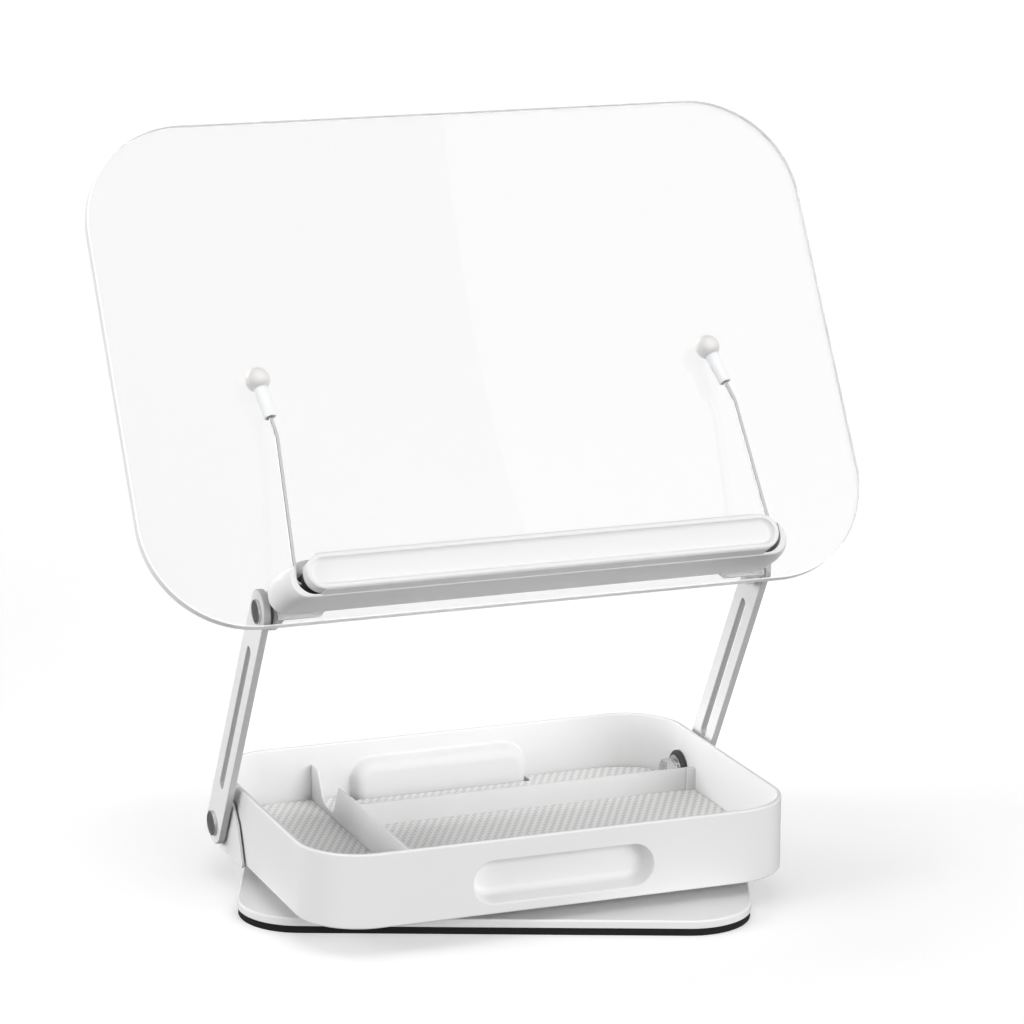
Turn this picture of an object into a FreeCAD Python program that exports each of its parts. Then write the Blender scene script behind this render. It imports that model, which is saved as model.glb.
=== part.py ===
import FreeCAD, Part
import math
import os
import re
import Sketcher
from FreeCAD import Vector

os.makedirs("parts", exist_ok=True)
doc = FreeCAD.newDocument("rotating_book_stand")

# Driving sizes in millimetres and degrees
SIZES = {
    # Base plate and its rubber pad, turned under the tray
    "base_width": 270, "base_depth": 192, "base_corner": 34, "base_turn": 21.65,
    "pad_height": 4, "pad_inset": 0.5, "plate_height": 4.5,
    # Ball-bearing turntable in the gap between base plate and tray
    "swivel_gap": 6.5, "race_height": 2, "race_inner": 40, "race_outer": 62,
    "ball_circle": 51, "ball_radius": 1.8, "groove_play": 0.15, "ball_count": 20,
    "cage_height": 1.2, "cage_width": 8, "race_screw_circle": 45, "race_screw_count": 4,
    "swivel_bolt_radius": 4, "swivel_head_radius": 9, "swivel_washer_radius": 9,
    "bush_wall": 1.5, "bush_flange": 0.8, "swivel_washer_height": 0.6, "swivel_nut_height": 2.6,
    # Tray
    "tray_width": 270, "tray_depth": 192, "tray_height": 40, "tray_corner": 34,
    "tray_wall": 2.8, "tray_floor": 2.5, "tray_shift": -3.3, "rim_round": 1.1,
    "board_top": 8.2, "board_height": 1.6, "liner_height": 1, "lining_play": 0.4,
    "recess_length": 100, "recess_radius": 11.5, "recess_height": 17.2, "recess_depth": 10.6,
    "recess_draft": 14, "recess_skin": 1.6, "recess_round": 6,
    # Dividers
    "divider_sheet": 1.2, "cross_divider_y": 34.5, "cross_divider_height": 12.6,
    "side_divider_x": -74.4, "side_divider_height": 20.1, "guide_reach": 5, "guide_rib": 1.4,
    "swoop_tip": 10.5, "swoop_back": 20, "swoop_front": 37, "swoop_end": 45.5, "swoop_floor": 3,
    # Arms and their lower pivots
    "pivot_back": 52.9, "pivot_height": 14.6, "arm_length": 158.2, "arm_lean": 30,
    "arm_radius": 11.5, "arm_sheet": 3.6, "arm_washer": 1, "arm_edge": 0.5,
    "slot_width": 5.4, "slot_low": 28, "slot_high": 25.6,
    "pin_radius": 4, "pin_play": 0.05, "cap_radius": 6.8, "cap_height": 2,
    "foot_sheet": 1.5, "foot_gap": 1, "foot_rear": 9, "foot_top": 17.4, "foot_front": 36.4,
    "foot_knee_y": 27.1, "foot_knee_z": 6, "foot_flange": 20, "foot_screw_reach": 12,
    "seat_height": 0.6, "friction_radius": 11.5, "friction_height": 2.4, "steel_washer_radius": 9,
    "steel_washer_height": 1.2, "spring_height": 1.6, "nut_width": 13, "nut_height": 5,
    "pin_tip": 1.2,
    # Panel, tilted back about the upper pivots
    "panel_width": 405, "panel_height": 276, "panel_sheet": 6, "panel_corner": 58,
    "panel_tilt": 31, "panel_edge": 0.6, "hinge_up": 12.7, "hinge_back": 18.8,
    # Ledge housing and bar, measured from the panel's lower edge and front face
    "ledge_low": 4.9, "ledge_top": 28, "ledge_half": 141.5, "ledge_front": 30,
    "plan_round": 7.4, "plan_peak": 9.5, "plan_depth": 21.5, "end_low_round": 9.5,
    "dome_drop": 7.5, "dome_reach": 14, "dome_side_round": 8, "dome_top_round": 20,
    "lip_sheet": 1.5, "lip_play": 0.2, "lip_inner": 134, "groove_depth": 12.5, "chin_front": 36.8,
    "chin_edge": 0.2,
    "shelf_floor": 5.5, "shelf_rear_wall": 2.5, "shelf_front_wall": 5,
    "shelf_half": 117, "bar_half": 130.2, "bar_radius": 9.5, "bar_front": 38,
    "spigot_depth": 3, "spigot_inset": 1.8, "spigot_short": 9, "trough_rim": 2.6, "trough_depth": 2.8,
    "trough_round": 2.2, "bar_round": 1.2, "bar_screw_step": 56, "screw_play": 0.1,
    # Upper hinge brackets behind the panel
    "leaf_sheet": 2, "leaf_inner": 108, "leaf_low": 3.7, "leaf_top": 31, "leaf_chamfer": 5,
    "ear_washer": 2.4, "ear_sheet": 3.7, "ear_radius": 10, "hinge_pin_radius": 3,
    "hinge_nut_width": 10, "hinge_nut_height": 4.4, "hinge_screw_x": 121,
    "hinge_screw_low": 12.5, "hinge_screw_high": 23.5, "screw_radius": 2, "screw_head": 3.8,
    "screw_head_height": 2, "hinge_screw_length": 17, "open_pivot_play": 0.15,
    # Page clips
    "clip_out": 24, "clip_up": 14, "rod_radius": 1.15, "rod_foot_x": 132.3,
    "rod_foot_inner": 121.5, "rod_bend": 2.6, "rod_kink": 12, "left_kink_x": 124.6,
    "right_kink_x": 132.8, "kink_up": 97, "kink_out": 11, "left_ball_x": 128.2,
    "right_ball_x": 125.6, "ball_up": 129.6, "ball_tip_radius": 6.5, "ball_rest_gap": 0.15,
    "sleeve_wide": 3.85, "sleeve_narrow": 3.3, "sleeve_length": 19, "sleeve_seat": 3.2,
    "rod_grip": 8, "sleeve_mouth": 2.2,
    "clip_bush_radius": 2.8, "clip_bush_inner": 121, "clip_bush_outer": 128.2,
    "clip_bore_mouth": 130.3,
}

# Places that follow from the driving sizes
PLACES = {
    "plate_top": "pad_height + plate_height",
    "tray_bottom": "plate_top + swivel_gap",
    "inner_width": "tray_width - 2 * tray_wall",
    "inner_depth": "tray_depth - 2 * tray_wall",
    "inner_corner": "tray_corner - tray_wall",
    "wall_out": "tray_width / 2",
    "wall_in": "wall_out - tray_wall",
    "front_face": "tray_depth / 2 - tray_shift",
    "back_face": "tray_depth / 2 + tray_shift",
    "liner_top": "board_top + liner_height",
    "bush_top": "plate_height + swivel_gap + tray_floor + bush_flange",
    "swivel_nut_end": "bush_top + swivel_washer_height + swivel_nut_height",
    "ball_level": "swivel_gap / 2",
    "groove_radius": "ball_radius + groove_play",
    "pivot_z": "tray_bottom + pivot_height",
    "foot_in": "wall_out + foot_gap",
    "foot_out": "foot_in + foot_sheet",
    "arm_gap": "foot_out + arm_washer",
    "arm_out": "arm_gap + arm_sheet",
    "upper_y": "pivot_back - arm_length * sin(arm_lean * 1 deg)",
    "upper_z": "pivot_z + arm_length * cos(arm_lean * 1 deg)",
    "seat_in": "wall_in - seat_height",
    "friction_end": "seat_in - friction_height",
    "washer_end": "friction_end - steel_washer_height",
    "spring_end": "washer_end - spring_height",
    "nut_end": "spring_end - nut_height",
    "ear_outer": "arm_gap - ear_washer",
    "ear_inner": "ear_outer - ear_sheet",
    "leaf_back": "panel_sheet + leaf_sheet",
    "bar_level": "ledge_low + lip_sheet + bar_radius",
    "shelf_front": "ledge_front - shelf_front_wall",
    "shelf_mid": "(shelf_front + shelf_rear_wall) / 2",
    "ball_out": "ball_tip_radius + ball_rest_gap",
}

size = doc.addObject("Spreadsheet::Sheet", "size")
for row, (alias, number) in enumerate(SIZES.items(), 1):
    size.set(f"A{row}", alias)
    size.set(f"B{row}", str(number))
    size.setAlias(f"B{row}", alias)
doc.recompute()


def bound(text):
    """Spell out a formula in cells of the sheet, so that an object can be bound to it."""
    def swap(match):
        word = match.group()
        if word in PLACES:
            return "(" + bound(PLACES[word]) + ")"
        return "size." + word if word in SIZES else word
    return re.sub(r"[a-z]\w*", swap, str(text))


def number(text):
    """The present value of a formula."""
    return float(size.evalExpression(bound(text)))


# Placements of the moving groups, as formulas
TRAY = "placement(vector(0; 0; tray_bottom); rotation(vector(0; 0; 1); 0))"
REST = ("placement(vector(0; upper_y - hinge_back; upper_z - hinge_up);"
        " rotation(vector(1; 0; 0); -panel_tilt); vector(0; hinge_back; hinge_up))")


def hinge_place(side, y, z):
    """Turn a piece made along +Z so that it lies along the hinge line, outwards from the middle."""
    turn = 90 * side
    return f"placement(vector(0; {y}; {z}); rotation(vector(0; 1; 0); {turn}))"


nodes = []


def new_body(label, place=None):
    body = doc.addObject("PartDesign::Body", label)
    body.Label = label
    if place:
        body.setExpression("Placement", bound(place))
    nodes.append(body)
    return body


def new_sketch(body, plane, lift="0"):
    """An empty sketch on one of the body's own planes, lifted along the plane's normal."""
    sketch = body.newObject("Sketcher::SketchObject", body.Label + "_sketch")
    origin = [item for item in body.Origin.OriginFeatures if item.Role == plane + "_Plane"][0]
    sketch.AttachmentSupport = [(origin, "")]
    sketch.MapMode = "FlatFace"
    sketch.setExpression("AttachmentOffset.Base.z", bound(lift))
    return sketch


def tie(sketch, name, formula, *constraint):
    """Add one dimension to a sketch and bind it to its formula."""
    index = sketch.addConstraint(Sketcher.Constraint(*constraint, number(formula)))
    name = f"{name}_{index}"
    sketch.renameConstraint(index, name)
    sketch.setExpression("Constraints." + name, bound(formula))


def pin_point(sketch, geometry, end, x, y):
    """Hold one point of a sketch at a formula's x and y."""
    if str(x) == "0":
        sketch.addConstraint(Sketcher.Constraint("PointOnObject", geometry, end, -2))
    else:
        tie(sketch, "x", x, "DistanceX", -1, 1, geometry, end)
    if str(y) == "0":
        sketch.addConstraint(Sketcher.Constraint("PointOnObject", geometry, end, -1))
    else:
        tie(sketch, "y", y, "DistanceY", -1, 1, geometry, end)


def circle(sketch, radius, x="0", y="0"):
    centre = Vector(number(x), number(y), 0)
    index = sketch.addGeometry(Part.Circle(centre, Vector(0, 0, 1), number(radius)), False)
    tie(sketch, "radius", radius, "Radius", index)
    pin_point(sketch, index, 3, x, y)


def outline(sketch, points):
    """A closed outline; a point is (x, y) or (x, y, radius), whose corner is then an arc."""
    count = len(points)
    places = [Vector(number(p[0]), number(p[1]), 0) for p in points]
    radii = [number(p[2]) if len(p) > 2 else 0 for p in points]
    starts, ends, centres = [], [], []
    for i in range(count):
        back = (places[i - 1] - places[i]).normalize()
        ahead = (places[(i + 1) % count] - places[i]).normalize()
        half = back.getAngle(ahead) / 2
        reach = radii[i] / math.tan(half)
        starts.append(places[i] + back * reach)
        ends.append(places[i] + ahead * reach)
        middle = back + ahead
        centres.append(places[i] + middle.normalize() * (radii[i] / math.sin(half)) if radii[i] else None)
    lines = []
    for i in range(count):
        line = Part.LineSegment(ends[i], starts[(i + 1) % count])
        lines.append(sketch.addGeometry(line, False))
    for i in range(count):
        before, after = lines[i - 1], lines[i]
        x, y = points[i][0], points[i][1]
        if not radii[i]:
            sketch.addConstraint(Sketcher.Constraint("Coincident", before, 2, after, 1))
            pin_point(sketch, after, 1, x, y)
            continue
        first = starts[i] - centres[i]
        last = ends[i] - centres[i]
        clockwise = first.cross(last).z < 0
        begin, finish = (last, first) if clockwise else (first, last)
        angles = [math.atan2(v.y, v.x) for v in (begin, finish)]
        ring = Part.Circle(centres[i], Vector(0, 0, 1), radii[i])
        arc = sketch.addGeometry(Part.ArcOfCircle(ring, *angles), False)
        near, far = (2, 1) if clockwise else (1, 2)
        sketch.addConstraint(Sketcher.Constraint("Tangent", before, 2, arc, near))
        sketch.addConstraint(Sketcher.Constraint("Tangent", arc, far, after, 1))
        tie(sketch, "radius", points[i][2], "Radius", arc)
        corner = sketch.addGeometry(Part.Point(places[i]), True)
        pin_point(sketch, corner, 1, x, y)
        sketch.addConstraint(Sketcher.Constraint("PointOnObject", corner, 1, before))
        sketch.addConstraint(Sketcher.Constraint("PointOnObject", corner, 1, after))


def rounded_box(sketch, width, depth, radius, x="0", y="0"):
    """A rectangle with round corners about the point x, y."""
    corners = [("+", "-"), ("+", "+"), ("-", "+"), ("-", "-")]
    outline(sketch, [(f"{x} {a} ({width}) / 2", f"{y} {b} ({depth}) / 2", radius) for a, b in corners])


def pill(sketch, half, radius, x="0", y="0", along="x"):
    """A straight slot with full round ends: half is its half length over the ends."""
    reach, r = number(half) - number(radius), number(radius)
    middle = Vector(number(x), number(y), 0)
    axis, side = (Vector(1, 0, 0), Vector(0, 1, 0)) if along == "x" else (Vector(0, 1, 0), Vector(-1, 0, 0))
    lows = middle - axis * reach
    highs = middle + axis * reach
    turn = 0 if along == "x" else math.pi / 2
    bottom = sketch.addGeometry(Part.LineSegment(lows - side * r, highs - side * r), False)
    top = sketch.addGeometry(Part.LineSegment(highs + side * r, lows + side * r), False)
    ring = Part.Circle(highs, Vector(0, 0, 1), r)
    head = sketch.addGeometry(Part.ArcOfCircle(ring, turn - math.pi / 2, turn + math.pi / 2), False)
    ring = Part.Circle(lows, Vector(0, 0, 1), r)
    tail = sketch.addGeometry(Part.ArcOfCircle(ring, turn + math.pi / 2, turn + 3 * math.pi / 2), False)
    for a, end_a, b, end_b in ((bottom, 2, head, 1), (head, 2, top, 1), (top, 2, tail, 1), (tail, 2, bottom, 1)):
        sketch.addConstraint(Sketcher.Constraint("Tangent", a, end_a, b, end_b))
    tie(sketch, "radius", radius, "Radius", head)
    centre = f"(({half}) - ({radius}))"
    if along == "x":
        pin_point(sketch, head, 3, f"{x} + {centre}", y)
        pin_point(sketch, tail, 3, f"{x} - {centre}", y)
    else:
        pin_point(sketch, head, 3, x, f"{y} + {centre}")
        pin_point(sketch, tail, 3, x, f"{y} - {centre}")


def feature(body, kind, sketch, **settings):
    """Add a feature on a sketch; text settings are formulas. It has to change the body's volume."""
    before = body.Shape.Volume if body.Group and not body.Shape.isNull() else 0
    item = body.newObject("PartDesign::" + kind, f"{body.Label}_{kind.lower()}")
    if sketch is not None:
        item.Profile = sketch
    for name, setting in settings.items():
        if isinstance(setting, str) and "Type" not in name:
            item.setExpression(name, bound(setting))
        else:
            setattr(item, name, setting)
    body.Tip = item
    doc.recompute()
    grows = kind in ("Pad", "AdditiveLoft", "Revolution")
    change = body.Shape.Volume - before
    if not item.isValid() or (grows and change <= 0) or (kind in ("Pocket", "Groove") and change >= 0):
        raise RuntimeError(f"{item.Name} changed the volume by {change:.3f}")
    return item


def pad(body, sketch, length, **settings):
    return feature(body, "Pad", sketch, Length=length, **settings)


def pocket(body, sketch, length, **settings):
    return feature(body, "Pocket", sketch, Length=length, **settings)


def pocket_through(body, sketch):
    return feature(body, "Pocket", sketch, Type="ThroughAll", SideType="Symmetric")


def turned(body, points):
    """A solid of revolution about the body's Z axis from (radius, height) points."""
    sketch = new_sketch(body, "XZ")
    outline(sketch, points)
    axis = (sketch, ["V_Axis"])
    return feature(body, "Revolution", sketch, Angle=360.0, ReferenceAxis=axis)


def round_edges(body, radius, wanted, kind="Fillet"):
    """Round or chamfer the edges of the body's present shape that the test picks."""
    tip = body.Tip
    names = [f"Edge{i}" for i, edge in enumerate(tip.Shape.Edges, 1) if wanted(edge)]
    if not names:
        raise RuntimeError("no edge found on " + body.Label)
    item = body.newObject("PartDesign::" + kind, f"{body.Label}_{kind.lower()}")
    item.Base = (tip, names)
    item.setExpression("Radius" if kind == "Fillet" else "Size", bound(radius))
    body.Tip = item
    doc.recompute()
    if not item.isValid() or not item.Shape.isValid():
        raise RuntimeError("the edges of " + body.Label + " can't be rounded")


def flat_at(axis, level, slack=0.01):
    """A test for edges that lie wholly at one level along an axis."""
    low, high = axis + "Min", axis + "Max"

    def test(edge):
        box = edge.BoundBox
        return abs(getattr(box, low) - level) < slack and abs(getattr(box, high) - level) < slack
    return test


def ring_body(label, place, inner, outer, start, end):
    """A washer, bush or disc: a ring between two heights along its own axis."""
    body = new_body(label, place)
    turned(body, [(inner, start), (outer, start), (outer, end), (inner, end)])
    return body


def hex_nut(label, place, width, bore, start, height):
    """A hexagon nut with its corners chamfered by a cone on both faces."""
    body = new_body(label, place)
    sketch = new_sketch(body, "XY", start)
    corner = f"({width}) / sqrt(3)"
    points = []
    for step in range(6):
        angle = 60 * step + 30
        points.append((f"{corner} * cos({angle} deg)", f"{corner} * sin({angle} deg)"))
    outline(sketch, points)
    circle(sketch, bore)
    pad(body, sketch, height)
    sketch = new_sketch(body, "XZ")
    slope = f"({width}) / 2 * 0.98"
    tall = f"{start} + {height}"
    far = f"{width}"
    outline(sketch, [(slope, tall), (far, f"{tall} - ({far} - {slope}) * 0.58"), (far, tall)])
    feature(body, "Groove", sketch, Angle=360.0, ReferenceAxis=(sketch, ["V_Axis"]))
    return body


def repeat_around(body, item, count):
    """Repeat a feature around the body's Z axis."""
    pattern = body.newObject("PartDesign::PolarPattern", body.Label + "_pattern")
    pattern.Originals = [item]
    pattern.Axis = ([o for o in body.Origin.OriginFeatures if o.Role == "Z_Axis"][0], [""])
    pattern.Angle = 360
    pattern.setExpression("Occurrences", bound(count))
    body.Tip = pattern
    doc.recompute()
    return pattern


def group_of(label, makers):
    """One node of separate like solids, gathered from Part objects."""
    group = doc.addObject("Part::Compound", label)
    group.Label = label
    group.Links = makers
    nodes.append(group)
    return group


def screw(name, place, head_radius, head_height, radius, length, sunk=False):
    """A plain screw along +Z: a flat or countersunk head on top of a shank."""
    head = doc.addObject("Part::Cone" if sunk else "Part::Cylinder", name + "_head")
    if sunk:
        head.setExpression("Radius1", bound(radius))
        head.setExpression("Radius2", bound(head_radius))
    else:
        head.setExpression("Radius", bound(head_radius))
    head.setExpression("Height", bound(head_height))
    shank = doc.addObject("Part::Cylinder", name + "_shank")
    shank.setExpression("Radius", bound(radius))
    shank.setExpression("Height", bound(length))
    shank.setExpression("Placement.Base.z", bound(f"-({length})"))
    whole = doc.addObject("Part::Fuse", name)
    whole.Base = head
    whole.Tool = shank
    whole.setExpression("Placement", bound(place))
    return whole


# Rubber pad: an anti-slip sheet, a little inside the plate's edge
pad_body = new_body("rubber_pad", "placement(vector(0; 0; 0); rotation(vector(0; 0; 1); -base_turn))")
sketch = new_sketch(pad_body, "XY")
rounded_box(sketch, "base_width - 2 * pad_inset", "base_depth - 2 * pad_inset", "base_corner - pad_inset")
pad(pad_body, sketch, "pad_height")

# Base plate: thick steel that weighs the stand down, drilled for the swivel bolt
plate = new_body("base_plate", "placement(vector(0; 0; pad_height); rotation(vector(0; 0; 1); -base_turn))")
sketch = new_sketch(plate, "XY")
rounded_box(sketch, "base_width", "base_depth", "base_corner")
pad(plate, sketch, "plate_height")
round_edges(plate, "plate_height / 5", flat_at("Z", number("plate_height")))
sketch = new_sketch(plate, "XZ")
outline(sketch, [("0", "0"), ("swivel_head_radius + screw_play", "0"),
                 ("swivel_bolt_radius + screw_play", "swivel_head_radius - swivel_bolt_radius - 1.5"),
                 ("swivel_bolt_radius + screw_play", "plate_height"), ("0", "plate_height")])
feature(plate, "Groove", sketch, Angle=360.0, ReferenceAxis=(sketch, ["V_Axis"]))
sketch = new_sketch(plate, "XY", "plate_height")
circle(sketch, "screw_radius - 0.5 + screw_play", "race_screw_circle")
repeat_around(plate, pocket(plate, sketch, "plate_height - 1"), "race_screw_count")

# Bearing races: two stamped rings with a ball groove each, held by sunk screws
BASE_TOP = "placement(vector(0; 0; plate_top); rotation(vector(0; 0; 1); 0))"
TURNED_TOP = "placement(vector(0; 0; plate_top); rotation(vector(0; 0; 1); -base_turn))"
UNDER_TRAY = "placement(vector(0; 0; tray_bottom); rotation(vector(1; 0; 0); 180))"
for label, place in (("swivel_lower_race", TURNED_TOP), ("swivel_upper_race", UNDER_TRAY)):
    race = new_body(label, place)
    turned(race, [("race_inner", "0"), ("race_outer", "0"),
                  ("race_outer", "race_height"), ("race_inner", "race_height")])
    sketch = new_sketch(race, "XZ")
    circle(sketch, "groove_radius", "ball_circle", "ball_level")
    feature(race, "Groove", sketch, Angle=360.0, ReferenceAxis=(sketch, ["V_Axis"]))
    sketch = new_sketch(race, "XZ")
    outline(sketch, [("race_screw_circle", "0"), ("race_screw_circle + screw_radius - 0.5 + screw_play", "0"),
                     ("race_screw_circle + screw_radius + 1 + screw_play", "race_height"),
                     ("race_screw_circle", "race_height")])
    line = sketch.addGeometry(Part.LineSegment(Vector(number("race_screw_circle"), 0, 0),
                                               Vector(number("race_screw_circle"), 9, 0)), True)
    pin_point(sketch, line, 1, "race_screw_circle", "0")
    pin_point(sketch, line, 2, "race_screw_circle", "race_height")
    hole = feature(race, "Groove", sketch, Angle=360.0, ReferenceAxis=(sketch, ["Axis0"]))
    repeat_around(race, hole, "race_screw_count")

# Ball cage: a nylon ring with one round pocket for each ball
cage = new_body("ball_cage", BASE_TOP)
turned(cage, [("ball_circle - cage_width / 2", "ball_level - cage_height / 2"),
              ("ball_circle + cage_width / 2", "ball_level - cage_height / 2"),
              ("ball_circle + cage_width / 2", "ball_level + cage_height / 2"),
              ("ball_circle - cage_width / 2", "ball_level + cage_height / 2")])
sketch = new_sketch(cage, "XY", "swivel_gap")
circle(sketch, "groove_radius", "ball_circle")
repeat_around(cage, pocket(cage, sketch, "swivel_gap"), "ball_count")

# Bearing balls, all in one node
balls = []
for step in range(int(SIZES["ball_count"])):
    ball = doc.addObject("Part::Sphere", f"bearing_ball_{step}")
    ball.setExpression("Radius", bound("ball_radius"))
    turn = f"placement(vector(0; 0; plate_top); rotation(vector(0; 0; 1); 360 / ball_count * {step}))"
    out = "placement(vector(ball_circle; 0; ball_level); rotation(vector(0; 0; 1); 0))"
    ball.setExpression("Placement", bound(turn + " * " + out))
    balls.append(ball)
group_of("bearing_balls", balls)


def race_screws(label, place, length):
    """Four sunk screws around the race's screw circle."""
    screws = []
    for step in range(int(SIZES["race_screw_count"])):
        turn = f"placement(vector(0; 0; 0); rotation(vector(0; 0; 1); 360 / race_screw_count * {step}))"
        out = "placement(vector(race_screw_circle; 0; 0); rotation(vector(0; 0; 1); 0))"
        screws.append(screw(f"{label}_{step}", f"{place} * {turn} * {out}", "screw_radius + 1",
                            "race_height", "screw_radius - 0.5", length, sunk=True))
    group_of(label, screws)


race_screws("lower_race_screws", TURNED_TOP, "plate_height - 1.2")
race_screws("upper_race_screws", UNDER_TRAY, "tray_floor + 1.5")

# Swivel bolt: sunk in the plate, up through the tray's bush to a washer and a thin nut
bolt_place = "placement(vector(0; 0; pad_height); rotation(vector(0; 0; 1); 0))"
bolt = new_body("swivel_bolt", bolt_place)
turned(bolt, [("0", "0"), ("swivel_head_radius", "0"),
              ("swivel_bolt_radius", "swivel_head_radius - swivel_bolt_radius - 1.5"),
              ("swivel_bolt_radius", "swivel_nut_end"), ("0", "swivel_nut_end")])
ring_body("swivel_washer", bolt_place, "swivel_bolt_radius + pin_play", "swivel_washer_radius",
          "bush_top", "bush_top + swivel_washer_height")
hex_nut("swivel_nut", bolt_place, "nut_width", "swivel_bolt_radius + pin_play",
        "bush_top + swivel_washer_height", "swivel_nut_height")
bush = new_body("swivel_bush", TRAY)
turned(bush, [("swivel_bolt_radius + pin_play", "0"), ("swivel_bolt_radius + bush_wall", "0"),
              ("swivel_bolt_radius + bush_wall", "tray_floor"), ("swivel_washer_radius", "tray_floor"),
              ("swivel_washer_radius", "tray_floor + bush_flange"),
              ("swivel_bolt_radius + pin_play", "tray_floor + bush_flange")])

# Tray: a moulded shell with a rounded rim and a hand recess in its front and back walls
tray = new_body("tray_shell", TRAY)
sketch = new_sketch(tray, "XY")
rounded_box(sketch, "tray_width", "tray_depth", "tray_corner", y="tray_shift")
pad(tray, sketch, "tray_height")
round_edges(tray, "rim_round", flat_at("Z", 0))
sketch = new_sketch(tray, "XY", "tray_height")
rounded_box(sketch, "inner_width", "inner_depth", "inner_corner", y="tray_shift")
pocket(tray, sketch, "tray_height - tray_floor")
round_edges(tray, "rim_round", flat_at("Z", number("tray_height")))
skin = "recess_depth + recess_skin - tray_wall"
for lift, inward in (("front_face - tray_wall", True), ("-(back_face - tray_wall)", False)):
    sketch = new_sketch(tray, "XZ", lift)
    pill(sketch, "recess_length / 2 + 1", "recess_radius + 1", y="recess_height")
    pad(tray, sketch, skin, TaperAngle="-recess_draft", Reversed=inward)
level = [number("front_face") - number("tray_wall") - number(skin),
         number("back_face") - number("tray_wall") - number(skin)]
faces = [flat_at("Y", -level[0], 0.05), flat_at("Y", level[1], 0.05)]
round_edges(tray, "recess_round", lambda edge: faces[0](edge) or faces[1](edge))
for lift, inward in (("front_face", False), ("-back_face", True)):
    sketch = new_sketch(tray, "XZ", lift)
    pill(sketch, "recess_length / 2", "recess_radius", y="recess_height")
    pocket(tray, sketch, "recess_depth", TaperAngle="-recess_draft", Reversed=inward)
level = [number("front_face - recess_depth"), number("back_face - recess_depth")]
faces2 = [flat_at("Y", -level[0], 0.05), flat_at("Y", level[1], 0.05)]
round_edges(tray, "recess_round - recess_skin", lambda edge: faces2[0](edge) or faces2[1](edge))
# Guide at the right wall that holds the cross divider's end
sketch = new_sketch(tray, "XY", "tray_floor")
guide_x = "wall_in - guide_reach / 2 + 0.5"
for y in ("cross_divider_y - screw_play - guide_rib / 2",
          "cross_divider_y + divider_sheet + screw_play + guide_rib / 2"):
    rounded_box(sketch, "guide_reach + 1", "guide_rib", "guide_rib / 4", guide_x, y)
pad(tray, sketch, "liner_top + cross_divider_height - tray_floor - 0.3")
# Posts that carry the floor board
sketch = new_sketch(tray, "XY", "tray_floor")
for x in ("-inner_width / 2 + 28", "-inner_width / 6", "inner_width / 6", "inner_width / 2 - 28"):
    for y in ("tray_shift - inner_depth / 2 + 28", "tray_shift + inner_depth / 2 - 28"):
        circle(sketch, "4", x, y)
pad(tray, sketch, "board_top - board_height - tray_floor")
# Flat seats for the friction discs on both side walls
for sign in (-1, 1):
    sketch = new_sketch(tray, "YZ", f"{sign} * seat_in")
    circle(sketch, "friction_radius + 0.5", "pivot_back", "pivot_height")
    pad(tray, sketch, "seat_height + tray_wall / 2", Reversed=sign < 0)
# Holes: arm pivots through both side walls, swivel bush, race screws and bracket screws
sketch = new_sketch(tray, "YZ")
circle(sketch, "pin_radius + screw_play", "pivot_back", "pivot_height")
pocket_through(tray, sketch)
sketch = new_sketch(tray, "XY", "tray_floor")
circle(sketch, "swivel_bolt_radius + bush_wall + screw_play")
pocket(tray, sketch, "tray_floor")
FOOT_SCREWS = [(f"{side} * (wall_out - foot_screw_reach)", f"pivot_back - {back}")
               for side in (-1, 1) for back in (4, 24)]
sketch = new_sketch(tray, "XY", "tray_floor")
for x, y in FOOT_SCREWS:
    circle(sketch, "screw_radius - 0.5 + screw_play", x, y)
pocket(tray, sketch, "tray_floor")
sketch = new_sketch(tray, "XY", "tray_floor")
circle(sketch, "screw_radius - 0.5 + screw_play", "race_screw_circle")
repeat_around(tray, pocket(tray, sketch, "tray_floor"), "race_screw_count")


def floor_cut(body, height):
    """Cut a floor sheet clear of the hand-recess bosses and of the hinge hardware."""
    sketch = new_sketch(body, "XY", height)
    boss = "2 * (recess_depth + recess_skin - tray_wall + lining_play)"
    for y in ("tray_shift - inner_depth / 2", "tray_shift + inner_depth / 2"):
        rounded_box(sketch, "recess_length + 4", boss, "3", "0", y)
    for side in ("-", "+"):
        rounded_box(sketch, "2 * (wall_in - nut_end + pin_tip + 1)", "2 * friction_radius + 2", "3",
                    f"0 {side} inner_width / 2", "pivot_back")
    guide = "2 * guide_rib + divider_sheet + 1"
    rounded_box(sketch, "2 * (guide_reach + 0.3)", guide, "0.5", "inner_width / 2",
                "cross_divider_y + divider_sheet / 2")
    pocket(body, sketch, height)


# Floor board that hides the swivel nut, with the woven-look liner on it
for label, top, height in (("floor_board", "board_top", "board_height"),
                           ("floor_liner", "liner_top", "liner_height")):
    place = f"placement(vector(0; 0; tray_bottom + {top} - {height}); rotation(vector(0; 0; 1); 0))"
    sheet = new_body(label, place)
    sketch = new_sketch(sheet, "XY")
    rounded_box(sketch, "inner_width - 2 * lining_play", "inner_depth - 2 * lining_play",
                "inner_corner - lining_play", y="tray_shift")
    pad(sheet, sketch, height)
    floor_cut(sheet, height)

# Cross divider: a low sheet from the side divider to the guide at the right wall
cross = new_body("cross_divider", TRAY)
sketch = new_sketch(cross, "XZ", "-cross_divider_y")
start = "side_divider_x + divider_sheet + 0.05"
outline(sketch, [(start, "liner_top"), ("wall_in - screw_play", "liner_top"),
                 ("wall_in - screw_play", "liner_top + cross_divider_height"),
                 (start, "liner_top + cross_divider_height")])
pad(cross, sketch, "divider_sheet", Reversed=True)
round_edges(cross, "divider_sheet * 0.35", flat_at("Z", number("liner_top + cross_divider_height")))

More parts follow.
